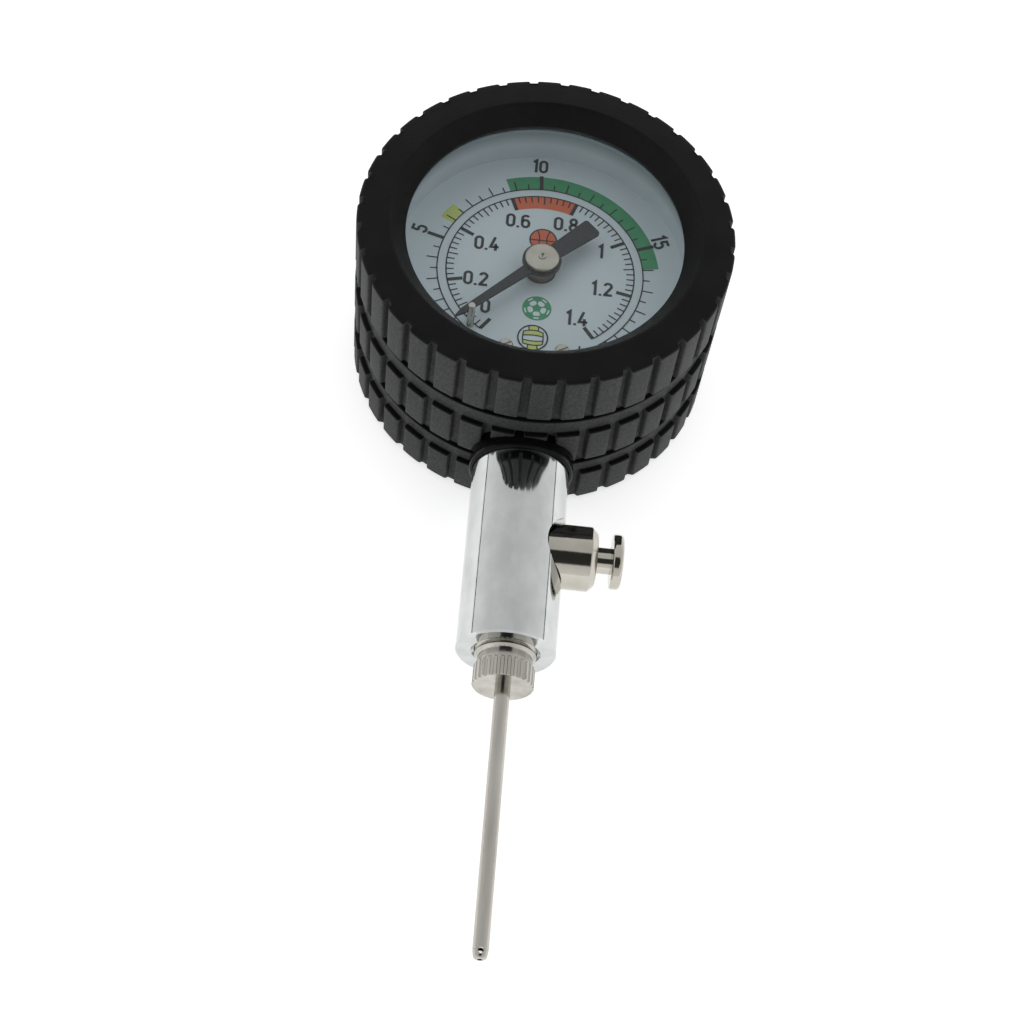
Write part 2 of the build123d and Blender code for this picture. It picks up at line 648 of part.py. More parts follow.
with BuildPart() as needle_tube:
    with BuildSketch(stem_profile_plane):
        with BuildLine():
            Polyline(
                (NEEDLE_BORE_R, tube_seat_y),
                (NEEDLE_SEAT_R, tube_seat_y),
                (NEEDLE_SEAT_R, KNURL_Y[1]),
                (NEEDLE_R, KNURL_Y[1]),
                (NEEDLE_R, NEEDLE_TIP_Y + 1.25),
                (NEEDLE_R - 0.08, NEEDLE_TIP_Y + 1.15),
                (NEEDLE_R - 0.02, NEEDLE_TIP_Y + 1.05),
                (NEEDLE_R - 0.12, NEEDLE_TIP_Y + 0.45),
            )
            ThreePointArc(
                (NEEDLE_R - 0.12, NEEDLE_TIP_Y + 0.45),
                (NEEDLE_R - 0.27, NEEDLE_TIP_Y + 0.13),
                (NEEDLE_BORE_R, NEEDLE_TIP_Y),
            )
            Polyline(
                (NEEDLE_BORE_R, NEEDLE_TIP_Y),
                (0.3, NEEDLE_TIP_Y),
                (0.3, NEEDLE_TIP_Y + 0.5),
                (NEEDLE_BORE_R, NEEDLE_TIP_Y + 0.6),
                (NEEDLE_BORE_R, tube_seat_y),
            )
        make_face()
    revolve(axis=stem_axis)
    with Locations((0, SIDE_HOLE_Y, STEM_Z)):
        Cylinder(SIDE_HOLE_R, 2 * NEEDLE_R, mode=Mode.SUBTRACT)
needle_tube.part.label = "needle_tube"
export_step(needle_tube.part, "parts/needle_tube.step")

# ---------------------------------------------------------------- socket block and Bourdon tube
def draw_tube_section(grow=0.0, mode=Mode.ADD):
    """The tube's flattened outline in a plane through the gauge's axis."""
    width = TUBE_W + 2 * grow
    height = TUBE_H + 2 * grow
    with Locations((TUBE_R, TUBE_Z)):
        RectangleRounded(width, height, width / 2 - 0.02, mode=mode)


with BuildPart() as bourdon_tube:
    with BuildSketch(tube_start_plane):
        draw_tube_section()
        draw_tube_section(-TUBE_WALL, mode=Mode.SUBTRACT)
    revolve(axis=Axis.Z, revolution_arc=TUBE_END - TUBE_START)
bourdon_tube.part.label = "bourdon_tube"
export_step(bourdon_tube.part, "parts/bourdon_tube.step")

with BuildPart() as tube_tip:
    with BuildSketch(tube_end_plane):
        draw_tube_section()
    revolve(axis=Axis.Z, revolution_arc=TUBE_CAP_ANGLE)
    with BuildSketch(Plane.XY.offset(tip_lug_z)):
        with Locations(tip_pin_spot):
            Circle(TIP_LUG_R[0])
        with Locations(polar(TUBE_R, TUBE_END + TUBE_CAP_ANGLE - 1)):
            Circle(TIP_LUG_R[1])
        make_hull()
        with Locations(tip_pin_spot):
            Circle(LINK_PIN_R, mode=Mode.SUBTRACT)
    extrude(amount=GEAR_Z[1] - tip_lug_z)
tube_tip.part.label = "tube_tip"
export_step(tube_tip.part, "parts/tube_tip.step")

with BuildPart() as block_pocket:
    with BuildSketch(tube_start_plane):
        draw_tube_section(SEAT_GAP)
    revolve(axis=Axis.Z, revolution_arc=30)

with BuildPart() as socket_block:
    with BuildSketch(Plane.XY.offset(block_foot_z)):
        with Locations((0, (BLOCK_Y[0] + BLOCK_Y[1]) / 2)):
            Rectangle(BLOCK_W, BLOCK_Y[1] - BLOCK_Y[0])
    extrude(amount=block_step_z - block_foot_z)
    with BuildSketch(Plane.XY.offset(block_step_z)):
        with Locations((0, (BLOCK_Y[0] + BLOCK_HEAD_Y) / 2)):
            Rectangle(BLOCK_W, BLOCK_HEAD_Y - BLOCK_Y[0])
    extrude(amount=dial_back_z - block_step_z)
    with BuildSketch(stem_plane.offset(-BLOCK_Y[0] - 0.5)):
        Circle(SHANK_R)
    extrude(amount=BLOCK_Y[0] + 0.5 - SHANK_END_Y)
    add(block_pocket.part, mode=Mode.SUBTRACT)
    # air passage: along the shank, down, and across to the tube
    with BuildSketch(stem_plane.offset(PORT_R - PORT_Y)):
        Circle(PORT_R)
    extrude(amount=PORT_Y - PORT_R - SHANK_END_Y, mode=Mode.SUBTRACT)
    with BuildSketch(Plane.XY.offset(TUBE_Z)):
        with Locations((0, PORT_Y)):
            Circle(PORT_R)
    extrude(amount=STEM_Z - TUBE_Z, mode=Mode.SUBTRACT)
    with BuildSketch(cross_port_plane):
        Circle(CROSS_PORT_R)
    extrude(amount=CROSS_PORT_LENGTH, mode=Mode.SUBTRACT)
    with BuildSketch(Plane.XY.offset(block_foot_z)):
        with Locations(*case_screw_spots):
            Circle(CASE_SCREW_R + SEAT_GAP)
    extrude(amount=CASE_BACK_Z + CASE_SCREW_LENGTH + FIT_GAP - block_foot_z, mode=Mode.SUBTRACT)
    with BuildSketch(Plane.XY.offset(dial_back_z)):
        with Locations(*dial_screw_spots):
            Circle(DIAL_SCREW_R + SEAT_GAP)
    extrude(amount=-DIAL_SCREW_LENGTH, mode=Mode.SUBTRACT)
socket_block.part.label = "socket_block"
export_step(socket_block.part, "parts/socket_block.step")

with BuildPart() as standoff_bushes:
    with BuildSketch(Plane.XY.offset(case_floor_z)):
        with Locations(*case_screw_spots):
            Circle(BUSHING_R)
            Circle(CASE_SCREW_R + RUNNING_GAP, mode=Mode.SUBTRACT)
    extrude(amount=BACK_PLATE_Z[0] - case_floor_z)
standoff_bushes.part.label = "standoff_bushes"
export_step(standoff_bushes.part, "parts/standoff_bushes.step")

# ---------------------------------------------------------------- movement frame
with BuildPart() as movement_back_plate:
    with BuildSketch(Plane.XY.offset(BACK_PLATE_Z[0])):
        Circle(PLATE_R)
        with Locations((0, FOOT_Y)):
            Rectangle(*FOOT_SIZE)
        Circle(ARBOR_R + RUNNING_GAP, mode=Mode.SUBTRACT)
        with Locations(sector_pivot):
            Circle(SECTOR_ARBOR_R + RUNNING_GAP, mode=Mode.SUBTRACT)
        with Locations(*PILLAR_SPOTS):
            Circle(SMALL_SCREW_R + RUNNING_GAP, mode=Mode.SUBTRACT)
        with Locations(*case_screw_spots):
            Circle(CASE_SCREW_R + RUNNING_GAP, mode=Mode.SUBTRACT)
        with Locations(OPENING_SPOT):
            Circle(OPENING_R, mode=Mode.SUBTRACT)
    extrude(amount=BACK_PLATE_Z[1] - BACK_PLATE_Z[0])
movement_back_plate.part.label = "movement_back_plate"
export_step(movement_back_plate.part, "parts/movement_back_plate.step")

with BuildPart() as movement_front_plate:
    with BuildSketch(Plane.XY.offset(FRONT_PLATE_Z[0])):
        Circle(PLATE_R)
        with Locations((0, FRONT_PLATE_EDGE_Y - PLATE_R)):
            Rectangle(3 * PLATE_R, 2 * PLATE_R, mode=Mode.SUBTRACT)
        Circle(POINTER_BUSH_R, mode=Mode.SUBTRACT)
        with Locations(sector_pivot):
            Circle(SECTOR_ARBOR_R + RUNNING_GAP, mode=Mode.SUBTRACT)
        with Locations(*PILLAR_SPOTS):
            Circle(SMALL_SCREW_R + RUNNING_GAP, mode=Mode.SUBTRACT)
        with Locations(OPENING_SPOT):
            Circle(OPENING_R, mode=Mode.SUBTRACT)
    extrude(amount=FRONT_PLATE_Z[1] - FRONT_PLATE_Z[0])
movement_front_plate.part.label = "movement_front_plate"
export_step(movement_front_plate.part, "parts/movement_front_plate.step")

with BuildPart() as movement_pillars:
    with BuildSketch(Plane.XY.offset(BACK_PLATE_Z[1])):
        with Locations(*PILLAR_SPOTS):
            Circle(PILLAR_R)
    extrude(amount=FRONT_PLATE_Z[0] - BACK_PLATE_Z[1])
    for tapped_z, depth in ((BACK_PLATE_Z[1], 1.8), (FRONT_PLATE_Z[0], -1.8)):
        with BuildSketch(Plane.XY.offset(tapped_z)):
            with Locations(*PILLAR_SPOTS):
                Circle(SMALL_SCREW_R + SEAT_GAP)
        extrude(amount=depth, mode=Mode.SUBTRACT)
movement_pillars.part.label = "movement_pillars"
export_step(movement_pillars.part, "parts/movement_pillars.step")

with BuildPart() as movement_screws:
    for head_z, way in ((BACK_PLATE_Z[0], -1), (FRONT_PLATE_Z[1], 1)):
        with BuildSketch(Plane.XY.offset(head_z)):
            with Locations(*PILLAR_SPOTS):
                Circle(SMALL_SCREW_HEAD[0])
        extrude(amount=way * SMALL_SCREW_HEAD[1])
        with BuildSketch(Plane.XY.offset(head_z)):
            with Locations(*PILLAR_SPOTS):
                Circle(SMALL_SCREW_R)
        extrude(amount=-way * 2.4)
        with BuildSketch(Plane.XY.offset(head_z + way * SMALL_SCREW_HEAD[1])):
            with Locations(*PILLAR_SPOTS):
                Rectangle(3, 0.3)
        extrude(amount=-way * 0.2, mode=Mode.SUBTRACT)
movement_screws.part.label = "movement_screws"
export_step(movement_screws.part, "parts/movement_screws.step")

# ---------------------------------------------------------------- gear train
half_tooth = (pi * MODULE / 2 - BACKLASH) / 2
sector_root_r = sector_pitch_r - 0.38
sector_tip_r = sector_pitch_r + 0.15
sector_first_tooth = -7
sector_last_tooth = 1
tooth_angle = 360 / SECTOR_TEETH
flank = tan(radians(PRESSURE_ANGLE))


def at_angle(radius, offset, angle, centre):
    """A point at a radius along a direction, and a distance to its left."""
    along = polar(radius, angle, centre)
    return polar(offset, angle + 90, along)


with BuildPart() as sector_gear:
    with BuildSketch(Plane.XY.offset(GEAR_Z[0])):
        band_start = mesh_angle + (sector_first_tooth - 0.7) * tooth_angle
        band_end = mesh_angle + (sector_last_tooth + 0.7) * tooth_angle
        band_middle = (band_start + band_end) / 2
        # toothed rim and the spoke that carries it
        with BuildLine():
            CenterArc(sector_pivot, sector_root_r, band_start, band_end - band_start)
            Line(polar(sector_root_r, band_end, sector_pivot), polar(SECTOR_RIM_R, band_end, sector_pivot))
            CenterArc(sector_pivot, SECTOR_RIM_R, band_end, band_start - band_end)
            band_corner = polar(SECTOR_RIM_R, band_start, sector_pivot)
            Line(band_corner, polar(sector_root_r, band_start, sector_pivot))
        make_face()
        for spoke_angle in (band_start + 6, band_end - 6):
            with BuildLine():
                Polyline(
                    at_angle(0, 1.1, spoke_angle, sector_pivot),
                    at_angle(8.6, 0.6, spoke_angle, sector_pivot),
                    at_angle(8.6, -0.6, spoke_angle, sector_pivot),
                    at_angle(0, -1.1, spoke_angle, sector_pivot),
                    close=True,
                )
            make_face()
        # teeth
        for tooth in range(sector_first_tooth, sector_last_tooth + 1):
            angle = mesh_angle + tooth * tooth_angle
            root_half = half_tooth + flank * (sector_pitch_r - sector_root_r)
            tip_half = half_tooth - flank * (sector_tip_r - sector_pitch_r)
            with BuildLine():
                Polyline(
                    at_angle(sector_root_r - 0.2, root_half, angle, sector_pivot),
                    at_angle(sector_root_r, root_half, angle, sector_pivot),
                    at_angle(sector_tip_r, tip_half, angle, sector_pivot),
                    at_angle(sector_tip_r, -tip_half, angle, sector_pivot),
                    at_angle(sector_root_r, -root_half, angle, sector_pivot),
                    at_angle(sector_root_r - 0.2, -root_half, angle, sector_pivot),
                    close=True,
                )
            make_face()
        # tail that the link pulls
        with BuildLine():
            Polyline(
                at_angle(0, SECTOR_TAIL_HALF[0], tail_angle, sector_pivot),
                at_angle(TAIL_R, SECTOR_TAIL_HALF[1], tail_angle, sector_pivot),
                at_angle(TAIL_R, -SECTOR_TAIL_HALF[1], tail_angle, sector_pivot),
                at_angle(0, -SECTOR_TAIL_HALF[0], tail_angle, sector_pivot),
                close=True,
            )
        make_face()
        with Locations(tail_pin_spot):
            Circle(SECTOR_TAIL_HALF[1])
        with Locations(sector_pivot):
            Circle(SECTOR_HUB_R)
            Circle(SECTOR_ARBOR_R, mode=Mode.SUBTRACT)
        with Locations(tail_pin_spot):
            Circle(LINK_PIN_R, mode=Mode.SUBTRACT)
    extrude(amount=GEAR_Z[1] - GEAR_Z[0])
sector_gear.part.label = "sector_gear"
export_step(sector_gear.part, "parts/sector_gear.step")

with BuildPart() as sector_arbor:
    with BuildSketch(Plane.XY.offset(ARBOR_Z[0])):
        with Locations(sector_pivot):
            Circle(SECTOR_ARBOR_R)
    extrude(amount=FRONT_PLATE_Z[1] - FIT_GAP - ARBOR_Z[0])
sector_arbor.part.label = "sector_arbor"
export_step(sector_arbor.part, "parts/sector_arbor.step")

with BuildPart() as sector_pin:
    with Locations((*tail_pin_spot, GEAR_Z[0])):
        Cylinder(LINK_PIN_R, pin_head_z - GEAR_Z[0], align=FROM_BASE)
    with Locations((*tail_pin_spot, pin_head_z)):
        Cylinder(2 * LINK_PIN_R, PIN_HEAD_H, align=FROM_BASE)
sector_pin.part.label = "sector_pin"
export_step(sector_pin.part, "parts/sector_pin.step")

with BuildPart() as tip_pin:
    with Locations((*tip_pin_spot, tip_lug_z)):
        Cylinder(LINK_PIN_R, pin_head_z - tip_lug_z, align=FROM_BASE)
    with Locations((*tip_pin_spot, pin_head_z)):
        Cylinder(2 * LINK_PIN_R, PIN_HEAD_H, align=FROM_BASE)
tip_pin.part.label = "tip_pin"
export_step(tip_pin.part, "parts/tip_pin.step")

with BuildPart() as link:
    with BuildSketch(Plane.XY.offset(LINK_Z[0])):
        with Locations(tail_pin_spot):
            Circle(LINK_EYE_R[0])
        with Locations(tip_pin_spot):
            Circle(LINK_EYE_R[1])
        make_hull()
        with Locations(tail_pin_spot):
            Circle(LINK_PIN_R + LINK_PLAY, mode=Mode.SUBTRACT)
        with Locations(tip_pin_spot):
            Circle(LINK_PIN_R, mode=Mode.SUBTRACT)
    extrude(amount=LINK_Z[1] - LINK_Z[0])
link.part.label = "link"
export_step(link.part, "parts/link.step")


def involute_half_angle(radius):
    """Half of a pinion tooth's angle at a radius, in radians."""
    base_r = pinion_pitch_r * cos(radians(PRESSURE_ANGLE))
    inv_pitch = tan(radians(PRESSURE_ANGLE)) - radians(PRESSURE_ANGLE)
    roll = (max(radius, base_r) ** 2 / base_r**2 - 1) ** 0.5
    inv_here = roll - atan(roll)
    return half_tooth / pinion_pitch_r + inv_pitch - inv_here


pinion_root_r = 0.72
pinion_tip_r = 1.2
with BuildPart() as center_pinion:
    with Locations((0, 0, ARBOR_Z[0])):
        Cylinder(ARBOR_R, ARBOR_Z[1] - ARBOR_Z[0], align=FROM_BASE)
    with BuildSketch(Plane.XY.offset(GEAR_Z[0] - 0.4)):
        Circle(pinion_root_r)
        for tooth in range(PINION_TEETH):
            angle = SECTOR_AT_ANGLE + (tooth + 0.5) * 360 / PINION_TEETH
            steps = (pinion_root_r - 0.1, 0.94, 1.0, 1.1, pinion_tip_r)
            left = [polar(r, angle + involute_half_angle(r) * 180 / pi) for r in steps]
            right = [polar(r, angle - involute_half_angle(r) * 180 / pi) for r in reversed(steps)]
            with BuildLine():
                Polyline(*left, *right, close=True)
            make_face()
    extrude(amount=GEAR_Z[1] - GEAR_Z[0] + 0.8)
center_pinion.part.label = "center_pinion"
export_step(center_pinion.part, "parts/center_pinion.step")

# ---------------------------------------------------------------- hairspring
with BuildPart() as hairspring:
    with BuildSketch(Plane.XY.offset(HAIRSPRING_Z[0])):
        with BuildLine() as coil_line:
            coil_step = (HAIRSPRING_R[1] - HAIRSPRING_R[0]) / HAIRSPRING_HALF_TURNS
            coil_x = HAIRSPRING_R[0]
            for half_turn in range(HAIRSPRING_HALF_TURNS):
                # each half turn is an arc, a little larger than the one before
                side = 1 if half_turn % 2 == 0 else -1
                arc_r = HAIRSPRING_R[0] + (half_turn + 0.5) * coil_step
                CenterArc((coil_x - side * arc_r, 0), arc_r, 0 if side == 1 else 180, 180)
                coil_x -= side * 2 * arc_r
        trace(line_width=HAIRSPRING_T)
    extrude(amount=HAIRSPRING_Z[1] - HAIRSPRING_Z[0])
hairspring.part.label = "hairspring"
export_step(hairspring.part, "parts/hairspring.step")

with BuildPart() as hairspring_collet:
    with BuildSketch(Plane.XY.offset(HAIRSPRING_Z[0] - 0.2)):
        Circle(COLLET_R)
        Circle(ARBOR_R, mode=Mode.SUBTRACT)
    extrude(amount=HAIRSPRING_Z[1] - HAIRSPRING_Z[0] + 0.4)
hairspring_collet.part.label = "hairspring_collet"
export_step(hairspring_collet.part, "parts/hairspring_collet.step")

with BuildPart() as hairspring_stud:
    with BuildSketch(Plane.XY.offset(HAIRSPRING_Z[0] - 0.2)):
        with Locations((coil_x, 0)):
            Circle(STUD_R)
    extrude(amount=FRONT_PLATE_Z[0] - HAIRSPRING_Z[0] + 0.2)
hairspring_stud.part.label = "hairspring_stud"
export_step(hairspring_stud.part, "parts/hairspring_stud.step")
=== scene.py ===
"""Looks of the ball pressure gauge: rubber boot, printed dial, glass, metal, floor, light and camera.

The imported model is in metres. Sizes here are named in millimetres and turned into metres as meshes are made.
"""
import math

import bpy
from mathutils import Matrix, Vector


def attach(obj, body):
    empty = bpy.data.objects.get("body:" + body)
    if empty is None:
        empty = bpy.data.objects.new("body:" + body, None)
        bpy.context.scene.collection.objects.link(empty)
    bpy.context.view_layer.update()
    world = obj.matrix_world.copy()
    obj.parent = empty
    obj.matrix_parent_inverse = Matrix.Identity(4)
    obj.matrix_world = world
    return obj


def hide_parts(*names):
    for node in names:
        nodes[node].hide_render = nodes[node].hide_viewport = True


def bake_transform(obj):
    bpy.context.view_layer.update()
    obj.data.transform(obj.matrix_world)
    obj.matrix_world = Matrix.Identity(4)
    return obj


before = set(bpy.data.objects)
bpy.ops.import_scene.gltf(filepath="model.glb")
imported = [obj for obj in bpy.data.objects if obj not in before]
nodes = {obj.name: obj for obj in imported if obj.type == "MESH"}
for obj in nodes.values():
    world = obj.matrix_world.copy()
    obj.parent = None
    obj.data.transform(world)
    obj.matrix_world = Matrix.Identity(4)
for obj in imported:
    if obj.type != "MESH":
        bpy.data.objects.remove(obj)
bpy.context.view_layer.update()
MM = 0.001

# ---------------------------------------------------------------- sizes, in millimetres
BOOT_R = 25.0
BOOT_BACK_R = 24.2  # where the rounded back edge starts
BACK_OPENING_R = 17.0
WINDOW_R = 18.5
WINDOW_Z = (27.07, 27.5)  # lowest and highest height of the window's edge in the lip
CASE_R = 21.58  # inside of the boot, on the case
CASE_BACK_Z = 1.22
CHANNEL_R = 23.65
TREAD_ROWS = ((0.9, 6.7), (10.4, 17.0), (21.0, 29.2))
GROOVE_COUNT = 36
GROOVE_PHASE = -92.0
GROOVE_FLOOR_R = (24.15, 23.9)  # floor of a groove at the lower and the upper end of a block
FRONT_FLOOR_R = 23.85
RIB_R = 24.25
RIB_TOP_Z = (8.6, 19.35)
GROOVE_PROFILE = (  # distance from the groove's middle, share of the block's height
    (0.0, 0.0), (0.38, 0.0), (0.48, 0.03), (0.54, 0.11), (0.57, 0.3),
    (0.6, 0.7), (0.65, 0.88), (0.73, 0.965), (0.86, 1.0),
)
BLOCK_COLUMNS = (3.2, 5.0, 6.8)  # degrees from a groove, across the block beside it
RUN_OUT_Z = (27.6, 29.3)
RIM_NOTCH = 0.65
RIM_Z = 29.63  # height of the front ring beside the blocks
COLLAR_R = 6.95
COLLAR_START_Y = -22.2
COLLAR_END_Y = -26.4
COLLAR_BORE_R = 6.47
STEM_Z = 9.8
VALVE_Y = -38.3
SPRING_X = (-1.55, 5.65)
SPRING_R = 1.75
WIRE_R = 0.2
SPRING_TURNS = 6
DIAL_Z = 19.5
# heights over which the painted shade at the ring's top fades in
RING_SHADE_Z = (22.3, 24.9)
INK_LIFT = 0.02
ZERO_ANGLE = 234.9
PSI_STEP = 14.18  # degrees for one psi
BAR_STEP = 205.64  # degrees for one bar
OUTER_LINE_R = 14.03
INNER_LINE_R = 12.8
THIN = 0.19
BOLD = 0.52


# ---------------------------------------------------------------- mesh helpers
def polar(radius, angle):
    """A point at a radius and an angle in degrees."""
    return (radius * math.cos(math.radians(angle)), radius * math.sin(math.radians(angle)))


def rounded(corners, steps=5):
    """A closed outline of (x, y, radius) corners, with each corner turned into an arc of that radius."""
    points = []
    count = len(corners)
    for i, (x, y, radius) in enumerate(corners):
        here = Vector((x, y))
        if radius == 0:
            points.append((x, y))
            continue
        before = (Vector(corners[i - 1][:2]) - here).normalized()
        after = (Vector(corners[(i + 1) % count][:2]) - here).normalized()
        half = before.angle(after) / 2
        centre = here + (before + after).normalized() * radius / math.sin(half)
        first = here + before * radius / math.tan(half) - centre
        last = here + after * radius / math.tan(half) - centre
        turn = first.angle_signed(last)
        for step in range(steps + 1):
            arm = Matrix.Rotation(-turn * step / steps, 2) @ first
            points.append(tuple(centre + arm))
    return points


def add_piece(name, verts, faces, body, slot, material, smooth=True):
    """A mesh given in millimetres becomes a piece that rides on a body, unless the body is None."""
    mesh = bpy.data.meshes.new(name)
    mesh.from_pydata([Vector(v) * MM for v in verts], [], faces)
    mesh.materials.append(material)
    mesh.validate()
    for polygon in mesh.polygons:
        polygon.use_smooth = smooth
    piece = bpy.data.objects.new(name, mesh)
    bpy.context.collection.objects.link(piece)
    if body:
        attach(piece, body)
    return piece


def loop_faces(columns, rows):
    """Quads of a grid whose columns and rows close on themselves."""
    faces = []
    for i in range(columns):
        for j in range(rows):
            a, b = i * rows + j, i * rows + (j + 1) % rows
            c, d = ((i + 1) % columns) * rows + (j + 1) % rows, ((i + 1) % columns) * rows + j
            faces.append((a, b, c, d))
    return faces


# ---------------------------------------------------------------- material helpers
def new_material(name):
    material = bpy.data.materials.new(name)
    material.use_nodes = True
    tree = material.node_tree
    return material, tree, tree.nodes["Principled BSDF"]


def add_node(tree, kind, **values):
    """A node with some of its inputs or properties set by name."""
    node = tree.nodes.new(kind)
    for key, value in values.items():
        if key in node.inputs:
            node.inputs[key].default_value = value
        else:
            setattr(node, key, value)
    return node


def add_noise(tree, scale, detail=3.0, stretch=(1, 1, 1), roughness=0.5):
    """Noise in the object's own space, where scale is the number of cells in a metre."""
    place = add_node(tree, "ShaderNodeTexCoord")
    mapping = add_node(tree, "ShaderNodeMapping", Scale=stretch)
    noise = add_node(tree, "ShaderNodeTexNoise", Scale=scale, Detail=detail, Roughness=roughness)
    tree.links.new(place.outputs["Object"], mapping.inputs["Vector"])
    tree.links.new(mapping.outputs["Vector"], noise.inputs["Vector"])
    return noise.outputs["Fac"]


def add_ramp(tree, value, stops):
    """A colour ramp with stops of (position, colour)."""
    ramp = add_node(tree, "ShaderNodeValToRGB")
    elements = ramp.color_ramp.elements
    while len(elements) < len(stops):
        elements.new(0.5)
    for element, (position, colour) in zip(elements, stops):
        element.position = position
        element.color = (*colour, 1)
    tree.links.new(value, ramp.inputs["Fac"])
    return ramp.outputs["Color"]


def add_range(tree, value, low, high, from_low=0.3, from_high=0.7):
    """The value, moved from one range to another."""
    spread = add_node(tree, "ShaderNodeMapRange")
    spread.inputs["From Min"].default_value = from_low
    spread.inputs["From Max"].default_value = from_high
    spread.inputs["To Min"].default_value = low
    spread.inputs["To Max"].default_value = high
    tree.links.new(value, spread.inputs["Value"])
    return spread.outputs["Result"]


def add_bump(tree, shader, height, depth):
    """Relief of a depth in millimetres on the shader's normal."""
    bump = add_node(tree, "ShaderNodeBump", Strength=1.0, Distance=depth * MM)
    tree.links.new(height, bump.inputs["Height"])
    tree.links.new(bump.outputs["Normal"], shader.inputs["Normal"])


def make_surface(
    name, dark, light, rough, metallic=0.0, specular=0.5, scale=300, grain=4000, depth=0.01,
    stretch=(1, 1, 1),
):
    """A surface whose colour and gloss wander between two values, with a fine grain."""
    material, tree, shader = new_material(name)
    shader.inputs["Metallic"].default_value = metallic
    shader.inputs["Specular IOR Level"].default_value = specular
    wander = add_noise(tree, scale, detail=4, stretch=stretch)
    tree.links.new(add_ramp(tree, wander, ((0.3, dark), (0.7, light))), shader.inputs["Base Color"])
    tree.links.new(add_range(tree, wander, *rough), shader.inputs["Roughness"])
    if depth:
        add_bump(tree, shader, add_noise(tree, grain, detail=3, stretch=stretch), depth)
    return material


# ---------------------------------------------------------------- materials
def make_rubber():
    """Rubber whose colour is painted by the way a face turns: black where it faces up or down, as painted
    shade, and greyer with a fine speckle on its sides, as painted light.
    """
    material, tree, shader = new_material("boot_rubber")
    shader.inputs["Specular IOR Level"].default_value = 0.12
    split = add_node(tree, "ShaderNodeSeparateXYZ")
    tree.links.new(add_node(tree, "ShaderNodeTexCoord").outputs["Normal"], split.inputs["Vector"])
    upright = add_node(tree, "ShaderNodeMath", operation="ABSOLUTE")
    tree.links.new(split.outputs["Z"], upright.inputs[0])
    # how far a face turns to the side, which sets the rubber's painted light and shade
    side = add_range(tree, upright.outputs["Value"], 1, 0, 0.15, 0.5)
    speckle = add_noise(tree, 2600, detail=3, roughness=0.6)
    blend = add_node(tree, "ShaderNodeMix", data_type="RGBA")
    tree.links.new(side, blend.inputs["Factor"])
    cloud = add_noise(tree, 240, detail=4)
    # painted shade: the near-black colour of faces that look up or down
    smooth = add_ramp(tree, cloud, ((0.3, (0.0035, 0.0035, 0.0035)), (0.7, (0.0065, 0.0065, 0.0065))))
    tree.links.new(smooth, blend.inputs["A"])
    # painted light: the greyer, speckled colour of faces that look sideways
    rough = add_ramp(tree, speckle, ((0.35, (0.030, 0.031, 0.032)), (0.68, (0.054, 0.055, 0.056))))
    tree.links.new(rough, blend.inputs["B"])
    tree.links.new(blend.outputs["Result"], shader.inputs["Base Color"])
    tree.links.new(add_range(tree, side, 0.42, 0.58, 0, 1), shader.inputs["Roughness"])
    add_bump(tree, shader, speckle, 0.035)
    return material


rubber = make_rubber()
collar_rubber = make_surface(
    "boot_collar_gloss", (0.003, 0.003, 0.003), (0.005, 0.005, 0.005), (0.12, 0.22),
    specular=0.1, scale=260, grain=900, depth=0.03,
)
case_paint = make_surface(
    "case_paint", (0.016, 0.016, 0.018), (0.024, 0.024, 0.026), (0.3, 0.42),
    scale=200, grain=5000, depth=0.006,
)
gasket = make_surface("gasket_grey", (0.30, 0.36, 0.39), (0.36, 0.42, 0.45), (0.4, 0.5), scale=400)


def make_ring():
    """Grey plastic with painted shade: darker at its top, where it meets the seal of the window and the lip
    shadows it.
    """
    material, tree, shader = new_material("ring_grey")
    split = add_node(tree, "ShaderNodeSeparateXYZ")
    tree.links.new(add_node(tree, "ShaderNodeTexCoord").outputs["Object"], split.inputs["Vector"])
    height = add_range(tree, split.outputs["Z"], 0, 1, RING_SHADE_Z[0] * MM, RING_SHADE_Z[1] * MM)
    wander = add_noise(tree, 200)
    pale = add_ramp(tree, wander, ((0.3, (0.55, 0.60, 0.63)), (0.7, (0.61, 0.66, 0.69))))
    blend = add_node(tree, "ShaderNodeMix", data_type="RGBA")
    # painted shade: the dark colour the top of the ring fades to, in the shadow of the lip
    blend.inputs["B"].default_value = (0.24, 0.28, 0.305, 1)
    tree.links.new(height, blend.inputs["Factor"])
    tree.links.new(pale, blend.inputs["A"])
    tree.links.new(blend.outputs["Result"], shader.inputs["Base Color"])
    tree.links.new(add_range(tree, wander, 0.35, 0.5), shader.inputs["Roughness"])
    add_bump(tree, shader, add_noise(tree, 4000), 0.004)
    return material


ring_plastic = make_ring()
dial_paint = make_surface(
    "dial_paint", (0.715, 0.780, 0.815), (0.735, 0.800, 0.835), (0.42, 0.5),
    scale=90, grain=6000, depth=0.002,
)


def make_ink(name, dark, light, rough=(0.4, 0.5), scale=700):
    """Flat printing ink without relief."""
    return make_surface(name, dark, light, rough, scale=scale, depth=0)


